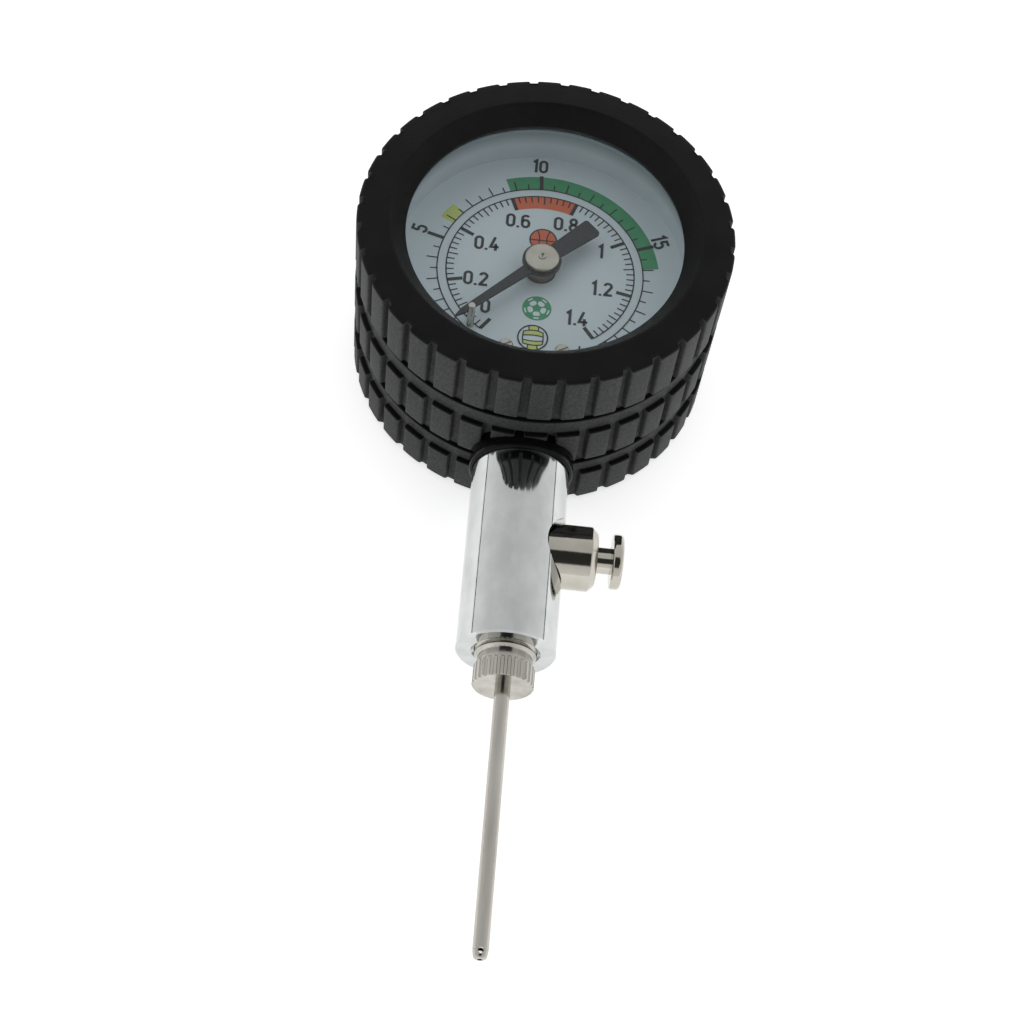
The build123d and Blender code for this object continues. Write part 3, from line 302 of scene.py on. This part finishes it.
ink = make_ink("ink_black", (0.026, 0.028, 0.030), (0.036, 0.038, 0.040), rough=(0.45, 0.55), scale=900)
ink_green = make_ink("ink_green", (0.060, 0.335, 0.150), (0.075, 0.365, 0.170))
ink_red = make_ink("ink_red", (0.74, 0.150, 0.065), (0.78, 0.170, 0.075))
ink_yellow = make_ink("ink_yellow", (0.64, 0.70, 0.20), (0.68, 0.74, 0.22))
ink_white = make_ink("ink_white", (0.74, 0.80, 0.84), (0.77, 0.83, 0.87))
pointer_paint = make_surface(
    "pointer_paint", (0.020, 0.021, 0.023), (0.030, 0.031, 0.033), (0.34, 0.46),
    scale=500, grain=7000, depth=0.004,
)
chrome = make_surface(
    "chrome", (0.54, 0.56, 0.555), (0.65, 0.665, 0.66), (0.03, 0.12),
    metallic=1.0, scale=420, grain=260, depth=0.012, stretch=(1, 0.6, 1),
)
nickel = make_surface(
    "nickel", (0.48, 0.455, 0.40), (0.55, 0.525, 0.47), (0.07, 0.13),
    metallic=1.0, scale=260, grain=900, depth=0.006,
)
needle_metal = make_surface(
    "needle_metal", (0.38, 0.365, 0.33), (0.54, 0.52, 0.475), (0.10, 0.22),
    metallic=1.0, scale=500, grain=6000, depth=0.006, stretch=(1, 0.12, 1),
)
turned_steel = make_surface(
    "turned_steel", (0.45, 0.41, 0.35), (0.55, 0.51, 0.45), (0.28, 0.42),
    metallic=1.0, scale=700, grain=5000,
)
bush_metal = make_surface(
    "bush_metal", (0.24, 0.21, 0.175), (0.34, 0.30, 0.25), (0.28, 0.42), metallic=1.0, scale=700, grain=5000
)
seal = make_surface("seal_black", (0.010, 0.010, 0.010), (0.018, 0.018, 0.018), (0.5, 0.65), scale=500)
brass = make_surface(
    "movement_brass", (0.60, 0.42, 0.17), (0.70, 0.51, 0.24), (0.22, 0.36), metallic=1.0
)
bronze = make_surface(
    "tube_bronze", (0.52, 0.30, 0.14), (0.62, 0.38, 0.19), (0.25, 0.4), metallic=1.0, grain=3000
)
spring_steel = make_surface(
    "spring_steel", (0.45, 0.46, 0.48), (0.56, 0.57, 0.59), (0.2, 0.32), metallic=1.0, scale=600, grain=5000
)


def make_glass():
    """Thin clear plastic with a faint blue-green tint, and a gloss that grows towards grazing."""
    material, tree, shader = new_material("window_clear")
    tree.nodes.remove(shader)
    output = tree.nodes["Material Output"]
    clear = add_node(tree, "ShaderNodeBsdfTransparent", Color=(0.955, 0.975, 0.98, 1))
    gloss = add_node(tree, "ShaderNodeBsdfGlossy", Color=(1, 1, 1, 1))
    facing = add_node(tree, "ShaderNodeFresnel", IOR=1.38)
    front = add_node(tree, "ShaderNodeMath", operation="SUBTRACT")
    front.inputs[0].default_value = 1
    mirror = add_node(tree, "ShaderNodeMath", operation="MULTIPLY")
    tree.links.new(add_node(tree, "ShaderNodeNewGeometry").outputs["Backfacing"], front.inputs[1])
    tree.links.new(facing.outputs["Fac"], mirror.inputs[0])
    tree.links.new(front.outputs["Value"], mirror.inputs[1])
    blend = add_node(tree, "ShaderNodeMixShader")
    smudge = add_noise(tree, 120, detail=3)
    tree.links.new(add_range(tree, smudge, 0.01, 0.06), gloss.inputs["Roughness"])
    tree.links.new(mirror.outputs["Value"], blend.inputs["Fac"])
    tree.links.new(clear.outputs["BSDF"], blend.inputs[1])
    tree.links.new(gloss.outputs["BSDF"], blend.inputs[2])
    tree.links.new(blend.outputs["Shader"], output.inputs["Surface"])
    return material


glass = make_glass()

for node_name, material in {
    "rubber_boot": rubber,
    "case_shell": case_paint,
    "case_screws": spring_steel,
    "lens": glass,
    "lens_gasket": gasket,
    "dial_ring": ring_plastic,
    "dial_plate": dial_paint,
    "dial_screws": turned_steel,
    "stop_pin": nickel,
    "pointer": pointer_paint,
    "pointer_bush": bush_metal,
    "pointer_cap": turned_steel,
    "center_bush": bush_metal,
    "stem": chrome,
    "stem_washer": seal,
    "valve_gasket": seal,
    "valve_body": nickel,
    "valve_plunger": nickel,
    "plunger_seal": seal,
    "valve_spring": spring_steel,
    "needle_washer": seal,
    "needle_hub": needle_metal,
    "needle_tube": needle_metal,
    "bourdon_tube": bronze,
    "tube_tip": brass,
    "socket_block": brass,
    "standoff_bushes": brass,
    "movement_back_plate": brass,
    "movement_front_plate": brass,
    "movement_pillars": brass,
    "movement_screws": spring_steel,
    "sector_gear": brass,
    "sector_arbor": spring_steel,
    "sector_pin": spring_steel,
    "tip_pin": spring_steel,
    "link": brass,
    "center_pinion": spring_steel,
    "hairspring": bronze,
    "hairspring_collet": brass,
    "hairspring_stud": brass,
}.items():
    slots = nodes[node_name].data.materials
    slots.clear()
    slots.append(material)

# ---------------------------------------------------------------- rubber boot
row_a, row_b, row_c = TREAD_ROWS
boot_outline = rounded(
    (
        (BACK_OPENING_R, 0.0, 0.2),
        (BOOT_BACK_R, 0.0, 0.35),
        (BOOT_R, 0.75, 0.4),
        (BOOT_R, row_a[1], 0.22),
        (RIB_R, row_a[1], 0.1),
        (RIB_R, RIB_TOP_Z[0], 0.22),
        (CHANNEL_R, RIB_TOP_Z[0], 0.1),
        (CHANNEL_R, row_b[0], 0.18),
        (BOOT_R, row_b[0], 0.28),
        (BOOT_R, row_b[1], 0.22),
        (RIB_R, row_b[1], 0.1),
        (RIB_R, RIB_TOP_Z[1], 0.22),
        (CHANNEL_R, RIB_TOP_Z[1], 0.1),
        (CHANNEL_R, row_c[0], 0.18),
        (BOOT_R, row_c[0], 0.28),
        (BOOT_R, RUN_OUT_Z[0], 0.0),
        (BOOT_R, 28.2, 0.0),
        (BOOT_R, 28.7, 0.0),
        (BOOT_R, row_c[1] + 0.3, 0.45),
        (24.0, 29.61, 0.0),
        (23.7, 29.64, 0.0),
        (23.3, 29.68, 0.0),
        (20.6, 30.0, 0.5),
        (WINDOW_R, WINDOW_Z[1], 0.22),
        (WINDOW_R, WINDOW_Z[0], 0.05),
        (CASE_R, WINDOW_Z[0], 0.0),
        (CASE_R, CASE_BACK_Z, 0.0),
        (BACK_OPENING_R, CASE_BACK_Z, 0.1),
    )
)


def groove_floor(z):
    """Radius of a groove's floor at a height. The grooves stop at the ribs and run out towards the rim."""
    if z > RUN_OUT_Z[0]:
        share = min((z - RUN_OUT_Z[0]) / (RUN_OUT_Z[1] - RUN_OUT_Z[0]), 1)
        return FRONT_FLOOR_R + (BOOT_R - RIM_NOTCH - FRONT_FLOOR_R) * (1 - math.sqrt(1 - share * share))
    for low, high in TREAD_ROWS:
        if low - 1 <= z <= high + 0.001:
            top = FRONT_FLOOR_R if high == row_c[1] else GROOVE_FLOOR_R[1]
            share = min(max((z - low) / (min(high, RUN_OUT_Z[0]) - low), 0), 1)
            return GROOVE_FLOOR_R[0] + (top - GROOVE_FLOOR_R[0]) * share
    return RIB_R


groove_columns = sorted({(side * d, share) for d, share in GROOVE_PROFILE for side in (-1, 1)})
boot_columns = []
for groove in range(GROOVE_COUNT):
    middle = GROOVE_PHASE + groove * 360 / GROOVE_COUNT
    boot_columns += [(middle + math.degrees(d / BOOT_R), share) for d, share in groove_columns]
    boot_columns += [(middle + degrees, 1.0) for degrees in BLOCK_COLUMNS]
boot_verts = []
for angle, share in boot_columns:
    for r, z in boot_outline:
        floor = groove_floor(z)
        if r > floor:
            if z > row_c[1]:
                z += (RIM_Z - z) * (1 - share) * min((r - floor) / 0.3, 1)
            r = floor + (r - floor) * share
        boot_verts.append((*polar(r, angle), z))
boot_faces = loop_faces(len(boot_columns), len(boot_outline))
boot = add_piece("boot_tread", boot_verts, boot_faces, "gauge", "boot_rubber", rubber)


def make_lathe(outline, centre, axis, columns=96):
    """Verts and faces of a closed outline of (radius, distance along the axis) turned about that axis."""
    turn = Vector((0, 0, 1)).rotation_difference(Vector(axis)).to_matrix()
    verts = []
    for i in range(columns):
        for r, along in outline:
            verts.append(turn @ Vector((*polar(r, 360 * i / columns), along)) + Vector(centre))
    return verts, loop_faces(columns, len(outline))


def cut_away(piece, verts, faces):
    """Takes a closed shape out of a piece, and keeps the result as plain mesh."""
    mesh = bpy.data.meshes.new("cutter")
    mesh.from_pydata([Vector(v) * MM for v in verts], [], faces)
    cutter = bpy.data.objects.new("cutter", mesh)
    bpy.context.collection.objects.link(cutter)
    cut = piece.modifiers.new("cut", "BOOLEAN")
    cut.object = cutter
    cut.operation = "DIFFERENCE"
    cut.solver = "EXACT"
    bpy.context.view_layer.update()
    result = bpy.data.meshes.new_from_object(piece.evaluated_get(bpy.context.evaluated_depsgraph_get()))
    piece.modifiers.clear()
    piece.data = result
    bpy.data.objects.remove(cutter)


HOLE_SIDES = 64
HOLE_Y = (-17, -27)
hole_angles = [math.tau * i / HOLE_SIDES for i in range(HOLE_SIDES)]
hole_ring = [(COLLAR_BORE_R * math.cos(a), COLLAR_BORE_R * math.sin(a)) for a in hole_angles]
hole_verts = [(x, y, STEM_Z + up) for y in HOLE_Y for x, up in hole_ring]
hole_faces = [
    (i, (i + 1) % HOLE_SIDES, HOLE_SIDES + (i + 1) % HOLE_SIDES, HOLE_SIDES + i) for i in range(HOLE_SIDES)
]
hole_faces += [tuple(reversed(range(HOLE_SIDES))), tuple(range(HOLE_SIDES, 2 * HOLE_SIDES))]
cut_away(boot, hole_verts, hole_faces)

collar_outline = rounded(
    (
        (COLLAR_BORE_R, COLLAR_START_Y, 0.0),
        (COLLAR_BORE_R, COLLAR_END_Y, 0.1),
        (COLLAR_R, COLLAR_END_Y, 0.36),
        (COLLAR_R, COLLAR_START_Y, 0.0),
    ),
    steps=6,
)
collar_outline = [(r, -y) for r, y in collar_outline]
collar_mesh = make_lathe(collar_outline, (0, 0, STEM_Z), (0, -1, 0))
add_piece("boot_collar", *collar_mesh, "gauge", "boot_rubber", collar_rubber)
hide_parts("rubber_boot")

# ---------------------------------------------------------------- valve spring
def make_coil(steps=24, sides=8):
    """Verts and faces of the valve's spring, a round wire wound about the button's axis."""
    count = SPRING_TURNS * steps + 1
    rise = (SPRING_X[1] - SPRING_X[0]) / (math.tau * SPRING_TURNS)
    verts = []
    for i in range(count):
        turn = math.tau * i / steps
        out = Vector((0, math.cos(turn), math.sin(turn)))
        side = out.cross(Vector((rise, -SPRING_R * math.sin(turn), SPRING_R * math.cos(turn)))).normalized()
        middle = Vector((SPRING_X[0] + rise * turn, VALVE_Y, STEM_Z)) + out * SPRING_R
        for k in range(sides):
            around = math.tau * k / sides
            verts.append(middle + (out * math.cos(around) + side * math.sin(around)) * WIRE_R)
    faces = [tuple(reversed(range(sides))), tuple(range((count - 1) * sides, count * sides))]
    for i in range(count - 1):
        for k in range(sides):
            a, b = i * sides + k, i * sides + (k + 1) % sides
            faces.append((a, b, b + sides, a + sides))
    return verts, faces


coil = add_piece("valve_spring_coil", *make_coil(), None, "spring_steel", spring_steel)
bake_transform(coil)
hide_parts("valve_spring")


# ---------------------------------------------------------------- dial print
def add_print(name, shapes, material, lift=1):
    """Flat shapes, each a list of points in millimetres, printed on the dial."""
    verts, faces = [], []
    for shape in shapes:
        faces.append(tuple(range(len(verts), len(verts) + len(shape))))
        verts += [(x, y, DIAL_Z + lift * INK_LIFT) for x, y in shape]
    return add_piece(name, verts, faces, "gauge", "dial_grey", material, smooth=False)


def band(inner, outer, start, end):
    """A piece of a ring, cut into quads."""
    steps = max(2, math.ceil(abs(end - start) / 3))
    shapes = []
    for step in range(steps):
        a = start + (end - start) * step / steps
        b = start + (end - start) * (step + 1) / steps
        shapes.append([polar(inner, a), polar(outer, a), polar(outer, b), polar(inner, b)])
    return shapes


def disc(radius, centre, steps=48):
    ring = (polar(radius, 360 * i / steps) for i in range(steps))
    return [[(centre[0] + x, centre[1] + y) for x, y in ring]]


def tick(inner, outer, angle, width):
    """A mark along a radius."""
    side = Vector(polar(width / 2, angle + 90))
    low, high = Vector(polar(inner, angle)), Vector(polar(outer, angle))
    return [tuple(low - side), tuple(high - side), tuple(high + side), tuple(low + side)]


def stroke(path, width):
    """A line of even width through some points, as quads with mitred joints."""
    points = [Vector(p) for p in path]
    closed = (points[0] - points[-1]).length < 1e-6
    sides = []
    for i, point in enumerate(points):
        before = point - points[i - 1] if i else None
        after = points[i + 1] - point if i + 1 < len(points) else None
        if closed and before is None:
            before = points[-1] - points[-2]
        if closed and after is None:
            after = points[1] - points[0]
        ways = [way.normalized() for way in (before, after) if way is not None]
        normals = [Vector((-way.y, way.x)) for way in ways]
        middle = sum(normals, Vector((0, 0))).normalized()
        sides.append(middle * width / 2 / max(middle.dot(normals[0]), 0.4))
    quads = []
    for i in range(len(points) - 1):
        a, b = points[i], points[i + 1]
        near, far = sides[i], sides[i + 1]
        quads.append([tuple(a - near), tuple(b - far), tuple(b + far), tuple(a + near)])
    return quads


def arc(x, y, rx, ry, start, end, steps=14):
    """Points of an arc of an ellipse."""
    angles = [math.radians(start + (end - start) * i / steps) for i in range(steps + 1)]
    return [(x + rx * math.cos(a), y + ry * math.sin(a)) for a in angles]


# Narrow figures, drawn as strokes in a box one unit high. Each has its width and its strokes.
W = 0.40  # width between the middles of a figure's side strokes
H = W / 2
BAR = 0.17  # width of a stroke
TOP, BASE = 1 - BAR / 2, BAR / 2
UP, DOWN = TOP - H, BASE + H
GLYPHS = {
    "0": (W, [arc(H, UP, H, H, 0, 180) + arc(H, DOWN, H, H, 180, 360) + [(W, UP)]]),
    "1": (0.22, [[(-0.02, 0.80), (0.17, 0.97), (0.17, 0)]]),
    "2": (W, [arc(H, UP, H, H, 170, -35) + [(0.02, BASE + 0.02), (0.02, BASE), (W + 0.05, BASE)]]),
    "4": (W + 0.04, [[(0.25, 1), (0, 0.27), (W + 0.08, 0.27)], [(0.30, 0.50), (0.30, 0)]]),
    "5": (
        W,
        [[(W, TOP), (0.05, TOP), (0.02, 0.56)], arc(H, 0.36, H, 0.22, 145, 0) + arc(H, DOWN, H, H, 0, -170)],
    ),
    "6": (W, [arc(H, UP + 0.02, H, H, 35, 180) + arc(H, DOWN, H, H, 180, 360) + arc(H, 0.40, H, H, 0, 165)]),
    "8": (W, [arc(H, 0.735, 0.175, 0.20, 0, 360, 24), arc(H, 0.285, H, 0.22, 0, 360, 24)]),
    ".": (0.10, [[(0.05, 0), (0.05, 0.14)]]),
    "b": (W, [[(0, 1), (0, 0)], arc(H, 0.44, H, H, 180, 0) + arc(H, DOWN, H, H, 0, -180)]),
    "a": (W, [arc(H, 0.44, H, H, 160, 0) + [(W, 0)], arc(H, 0.215, H, 0.15, 0, 360, 20)]),
    "r": (0.24, [[(0, 0.66), (0, 0)], arc(0.2, 0.40, H, 0.22, 180, 70)]),
    "p": (W, [[(0, 0.64), (0, -0.3)], arc(H, 0.44, H, H, 180, 0) + arc(H, DOWN, H, H, 0, -180)]),
    "s": (0.34, [arc(0.17, 0.49, 0.15, 0.12, 30, 270) + arc(0.17, 0.22, 0.16, 0.155, 90, -150)]),
    "i": (0.10, [[(0.05, 0.64), (0.05, 0)], [(0.05, 0.80), (0.05, 0.94)]]),
}
GAP = 0.20


def lettering(text, centre, height, turn=0.0):
    """Figures centred on a point and turned by an angle, as flat shapes."""
    total = sum(GLYPHS[c][0] for c in text) + GAP * (len(text) - 1)
    spin = Matrix.Rotation(math.radians(turn), 2)
    pen, shapes = -total / 2, []
    for c in text:
        advance, strokes = GLYPHS[c]
        for path in strokes:
            for quad in stroke(path, BAR):
                local = [Vector(((pen + x) * height, (y - 0.5) * height)) for x, y in quad]
                shapes.append([tuple(Vector(centre) + spin @ p) for p in local])
        pen += advance + GAP
    return shapes


def bar_band(inner, outer, first_bar, last_bar):
    """A coloured band between two pressures."""
    return band(inner, outer, ZERO_ANGLE - first_bar * BAR_STEP, ZERO_ANGLE - last_bar * BAR_STEP)


add_print("dial_band_green", bar_band(14.1, 16.25, 0.603, 1.1), ink_green)
add_print("dial_band_red", bar_band(10.7, 12.75, 0.6, 0.8), ink_red)
add_print("dial_band_yellow", bar_band(14.2, 16.1, 0.402, 0.451), ink_yellow)

scale_end = ZERO_ANGLE - 1.4 * BAR_STEP
marks = band(OUTER_LINE_R - THIN / 2, OUTER_LINE_R + THIN / 2, ZERO_ANGLE, scale_end)
marks += band(INNER_LINE_R - THIN / 2, INNER_LINE_R + THIN / 2, ZERO_ANGLE, scale_end)
for half_psi in range(1, 41):
    angle = ZERO_ANGLE - half_psi / 2 * PSI_STEP
    if half_psi % 10 == 0:
        marks.append(tick(OUTER_LINE_R, 16.4, angle, BOLD))
    else:
        marks.append(tick(OUTER_LINE_R, 15.55 if half_psi % 2 == 0 else 14.95, angle, THIN))
for step in range(71):
    angle = ZERO_ANGLE - step / 50 * BAR_STEP
    if step % 10 == 0:
        marks.append(tick(10.7, INNER_LINE_R, angle, BOLD))
    else:
        marks.append(tick(11.4 if step % 5 == 0 else 11.75, INNER_LINE_R, angle, THIN))
add_print("dial_marks", marks, ink, lift=2)

figures = []
for text, centre in (
    ("0", (-6.95, -6.75)), ("0.2", (-8.6, -2.35)), ("0.4", (-7.57, 3.75)), ("0.6", (-3.6, 8.15)),
    ("0.8", (3.0, 8.4)), ("1", (8.05, 4.4)), ("1.2", (8.5, -1.9)), ("1.4", (5.4, -7.2)),
):
    figures += lettering(text, centre, 2.3)
for text, centre, turn in (("5", (-16.9, 5.1), 74), ("10", (-1.2, 18.1), 0), ("15", (16.1, 7.1), -68)):
    figures += lettering(text, centre, 2.25, turn)
figures += lettering("bar", (7.1, -12.4), 1.5)
figures += lettering("psi", (-7.3, -12.6), 1.5)
add_print("dial_figures", figures, ink, lift=2)

# basket ball, football and volley ball, as plain signs of what the coloured bands are for
SIGN_LINE = 0.17


def bow(start, middle, end, steps=12):
    """Points of a smooth curve through three points."""
    a, b, c = Vector(start), Vector(middle), Vector(end)
    shares = [i / steps for i in range(steps + 1)]
    return [tuple(a * (1 - t) * (1 - 2 * t) + b * 4 * t * (1 - t) + c * t * (2 * t - 1)) for t in shares]


def between(first, second):
    """Quads that fill the space between two curves of equal length."""
    return [[a, b, d, c] for a, b, c, d in zip(first, first[1:], second, second[1:])]


def placed(shapes, centre):
    """Shapes moved to a centre."""
    return [[(centre[0] + x, centre[1] + y) for x, y in shape] for shape in shapes]


basket = (0.03, 5.32)
lines = band(1.7, 1.9, 0, 360)
for path in (
    [(-1.8, -0.12), (1.8, -0.12)],
    bow((-0.88, 1.5), (-0.50, 0.2), (-0.74, -1.5)),
    bow((0.92, 1.5), (0.52, 0.2), (0.74, -1.5)),
):
    lines += stroke(path, SIGN_LINE)
add_print("sign_basket_fill", disc(1.85, basket), ink_red)
add_print("sign_basket_lines", placed(lines, basket), ink, lift=2)

foot = (-0.06, -6.25)
cells = []
for i in range(5):
    way = 54 + 72 * i
    half_cell = ((0.56, 0.27), (0.84, 0.50), (1.12, 0.46), (1.27, 0.28))
    corners = [*half_cell, *((along, -side) for along, side in reversed(half_cell))]
    spin = Matrix.Rotation(math.radians(way), 2)
    cells.append([tuple(spin @ Vector(corner)) for corner in corners])
    cells += band(1.52, 1.74, way - 13, way + 13)
add_print("sign_foot_fill", disc(1.98, foot), ink_green)
add_print("sign_foot_cells", placed(cells, foot), ink_white, lift=2)

volley = (-0.28, -11.1)
crown = bow((-1.27, 0.92), (0.05, 1.2), (1.3, 0.92))
brow = bow((-1.31, 0.28), (0.05, 0.42), (1.36, 0.28))
cheek = bow((-1.31, -0.4), (0.05, -0.54), (1.36, -0.4))
chin = bow((-1.27, -1.0), (0.05, -1.2), (1.3, -1.0))
top_arc = arc(0, 0, 1.95, 1.95, 108, 70, 12)
bottom_arc = arc(0, 0, 1.95, 1.95, 252, 290, 12)
top_edge = [(x, 1.15) for x, _ in top_arc]
bottom_edge = [(x, -1.15) for x, _ in bottom_arc]
panels = between(crown, brow) + between(cheek, chin)
panels += between(top_arc, top_edge) + between(bottom_arc, bottom_edge)
lines = band(1.87, 2.09, 0, 360)
for path in (
    crown, brow, cheek, chin,
    bow((-1.27, 1.0), (-1.35, 0), (-1.27, -1.05)),
    bow((1.3, 1.0), (1.4, 0), (1.3, -1.05)),
    [(-0.62, 1.9), (-0.56, 1.15)],
    [(0.70, 1.85), (0.66, 1.1)],
    [(-0.66, -1.85), (-0.56, -1.15)],
    [(0.70, -1.85), (0.62, -1.12)],
):
    lines += stroke(path, SIGN_LINE)
add_print("sign_volley_fill", disc(1.95, volley), ink_white)
add_print("sign_volley_panels", placed(panels, volley), ink_yellow, lift=2)
add_print("sign_volley_lines", placed(lines, volley), ink, lift=3)

# ---------------------------------------------------------------- floor, light and camera
CAMERA_AT = (-8.84, -163.01, 234.83)
CAMERA_AZIMUTH = 0.0623
CAMERA_ELEVATION = 1.044
CAMERA_ROLL = -0.1573
FOCAL_PX = 1978.46
FRAME_PX = 1024
SENSOR = 36.0

ahead = Vector((
    math.sin(CAMERA_AZIMUTH) * math.cos(CAMERA_ELEVATION),
    math.cos(CAMERA_AZIMUTH) * math.cos(CAMERA_ELEVATION),
    -math.sin(CAMERA_ELEVATION),
))
level = ahead.cross(Vector((0, 0, 1))).normalized()
down = ahead.cross(level)
right = math.cos(CAMERA_ROLL) * level + math.sin(CAMERA_ROLL) * down
under = -math.sin(CAMERA_ROLL) * level + math.cos(CAMERA_ROLL) * down
camera_data = bpy.data.cameras.new("camera")
camera_data.sensor_width = SENSOR
camera_data.lens = FOCAL_PX / FRAME_PX * SENSOR
camera_data.clip_start = 0.01
camera_data.clip_end = 20
camera = bpy.data.objects.new("camera", camera_data)
axes = Matrix((right, -under, -ahead)).transposed()
camera.matrix_world = Matrix.Translation(Vector(CAMERA_AT) * MM) @ axes.to_4x4()
bpy.context.collection.objects.link(camera)
bpy.context.scene.camera = camera

FLOOR_HALF = 3.0
FLOOR_Z = -0.0001
floor_material, _, floor_shader = new_material("floor_white")
floor_shader.inputs["Base Color"].default_value = (0.9, 0.9, 0.9, 1)
floor_shader.inputs["Roughness"].default_value = 0.9
floor_shader.inputs["Specular IOR Level"].default_value = 0.1
floor_shader.inputs["Emission Color"].default_value = (1, 1, 1, 1)
floor_shader.inputs["Emission Strength"].default_value = 0.62
floor_mesh = bpy.data.meshes.new("floor")
corners = [(x * FLOOR_HALF, y * FLOOR_HALF, FLOOR_Z) for x, y in ((-1, -1), (1, -1), (1, 1), (-1, 1))]
floor_mesh.from_pydata(corners, [], [(0, 1, 2, 3)])
floor_mesh.materials.append(floor_material)
floor = bpy.data.objects.new("floor", floor_mesh)
bpy.context.collection.objects.link(floor)

# two low dark flags, which the polished stem mirrors as two thin lines and the camera doesn't see
FLAG_AWAY = 0.9
FLAG_HALF = 0.26
FLAG_TOP = 0.036
FLAG_WAY = (0.86, 0.51)
flag_material, _, flag_shader = new_material("flag_black")
flag_shader.inputs["Base Color"].default_value = (0.01, 0.01, 0.01, 1)
flag_shader.inputs["Roughness"].default_value = 0.9
flag_shader.inputs["Specular IOR Level"].default_value = 0.0
for side in (-1, 1):
    way = Vector((side * FLAG_WAY[0], FLAG_WAY[1], 0))
    across = Vector((-FLAG_WAY[1], side * FLAG_WAY[0], 0)) * FLAG_HALF
    near, far = way * FLAG_AWAY - across, way * FLAG_AWAY + across
    top = Vector((0, 0, FLAG_TOP))
    flag_mesh = bpy.data.meshes.new("flag")
    flag_mesh.from_pydata([near, far, far + top, near + top], [], [(0, 1, 2, 3)])
    flag_mesh.materials.append(flag_material)
    flag = bpy.data.objects.new("flag", flag_mesh)
    bpy.context.collection.objects.link(flag)
    flag.visible_camera = False

# a pale tent: even light from above, and a dark opening
world = bpy.data.worlds.new("tent")
bpy.context.scene.world = world
world.use_nodes = True
tree = world.node_tree
background = tree.nodes["Background"]
direction = add_node(tree, "ShaderNodeTexCoord").outputs["Generated"]
split = add_node(tree, "ShaderNodeSeparateXYZ")
tree.links.new(direction, split.inputs["Vector"])
wall_stops = (
    (0.0, (0.95, 0.95, 0.95)),
    (0.45, (0.80, 0.80, 0.80)),
    (1.0, (0.66, 0.67, 0.67)),
)
walls = add_ramp(tree, split.outputs["Z"], wall_stops)
opening = add_node(tree, "ShaderNodeVectorMath", operation="DOT_PRODUCT")
opening.inputs[1].default_value = -ahead
tree.links.new(direction, opening.inputs[0])
lit = add_ramp(tree, opening.outputs["Value"], ((0.90, (1, 1, 1)), (0.93, (0.05, 0.05, 0.05))))
joined = add_node(tree, "ShaderNodeMix", data_type="RGBA", blend_type="MULTIPLY")
joined.inputs["Factor"].default_value = 1
tree.links.new(walls, joined.inputs["A"])
tree.links.new(lit, joined.inputs["B"])
tree.links.new(joined.outputs["Result"], background.inputs["Color"])
background.inputs["Strength"].default_value = 1.0

bpy.context.scene.view_settings.view_transform = "Standard"
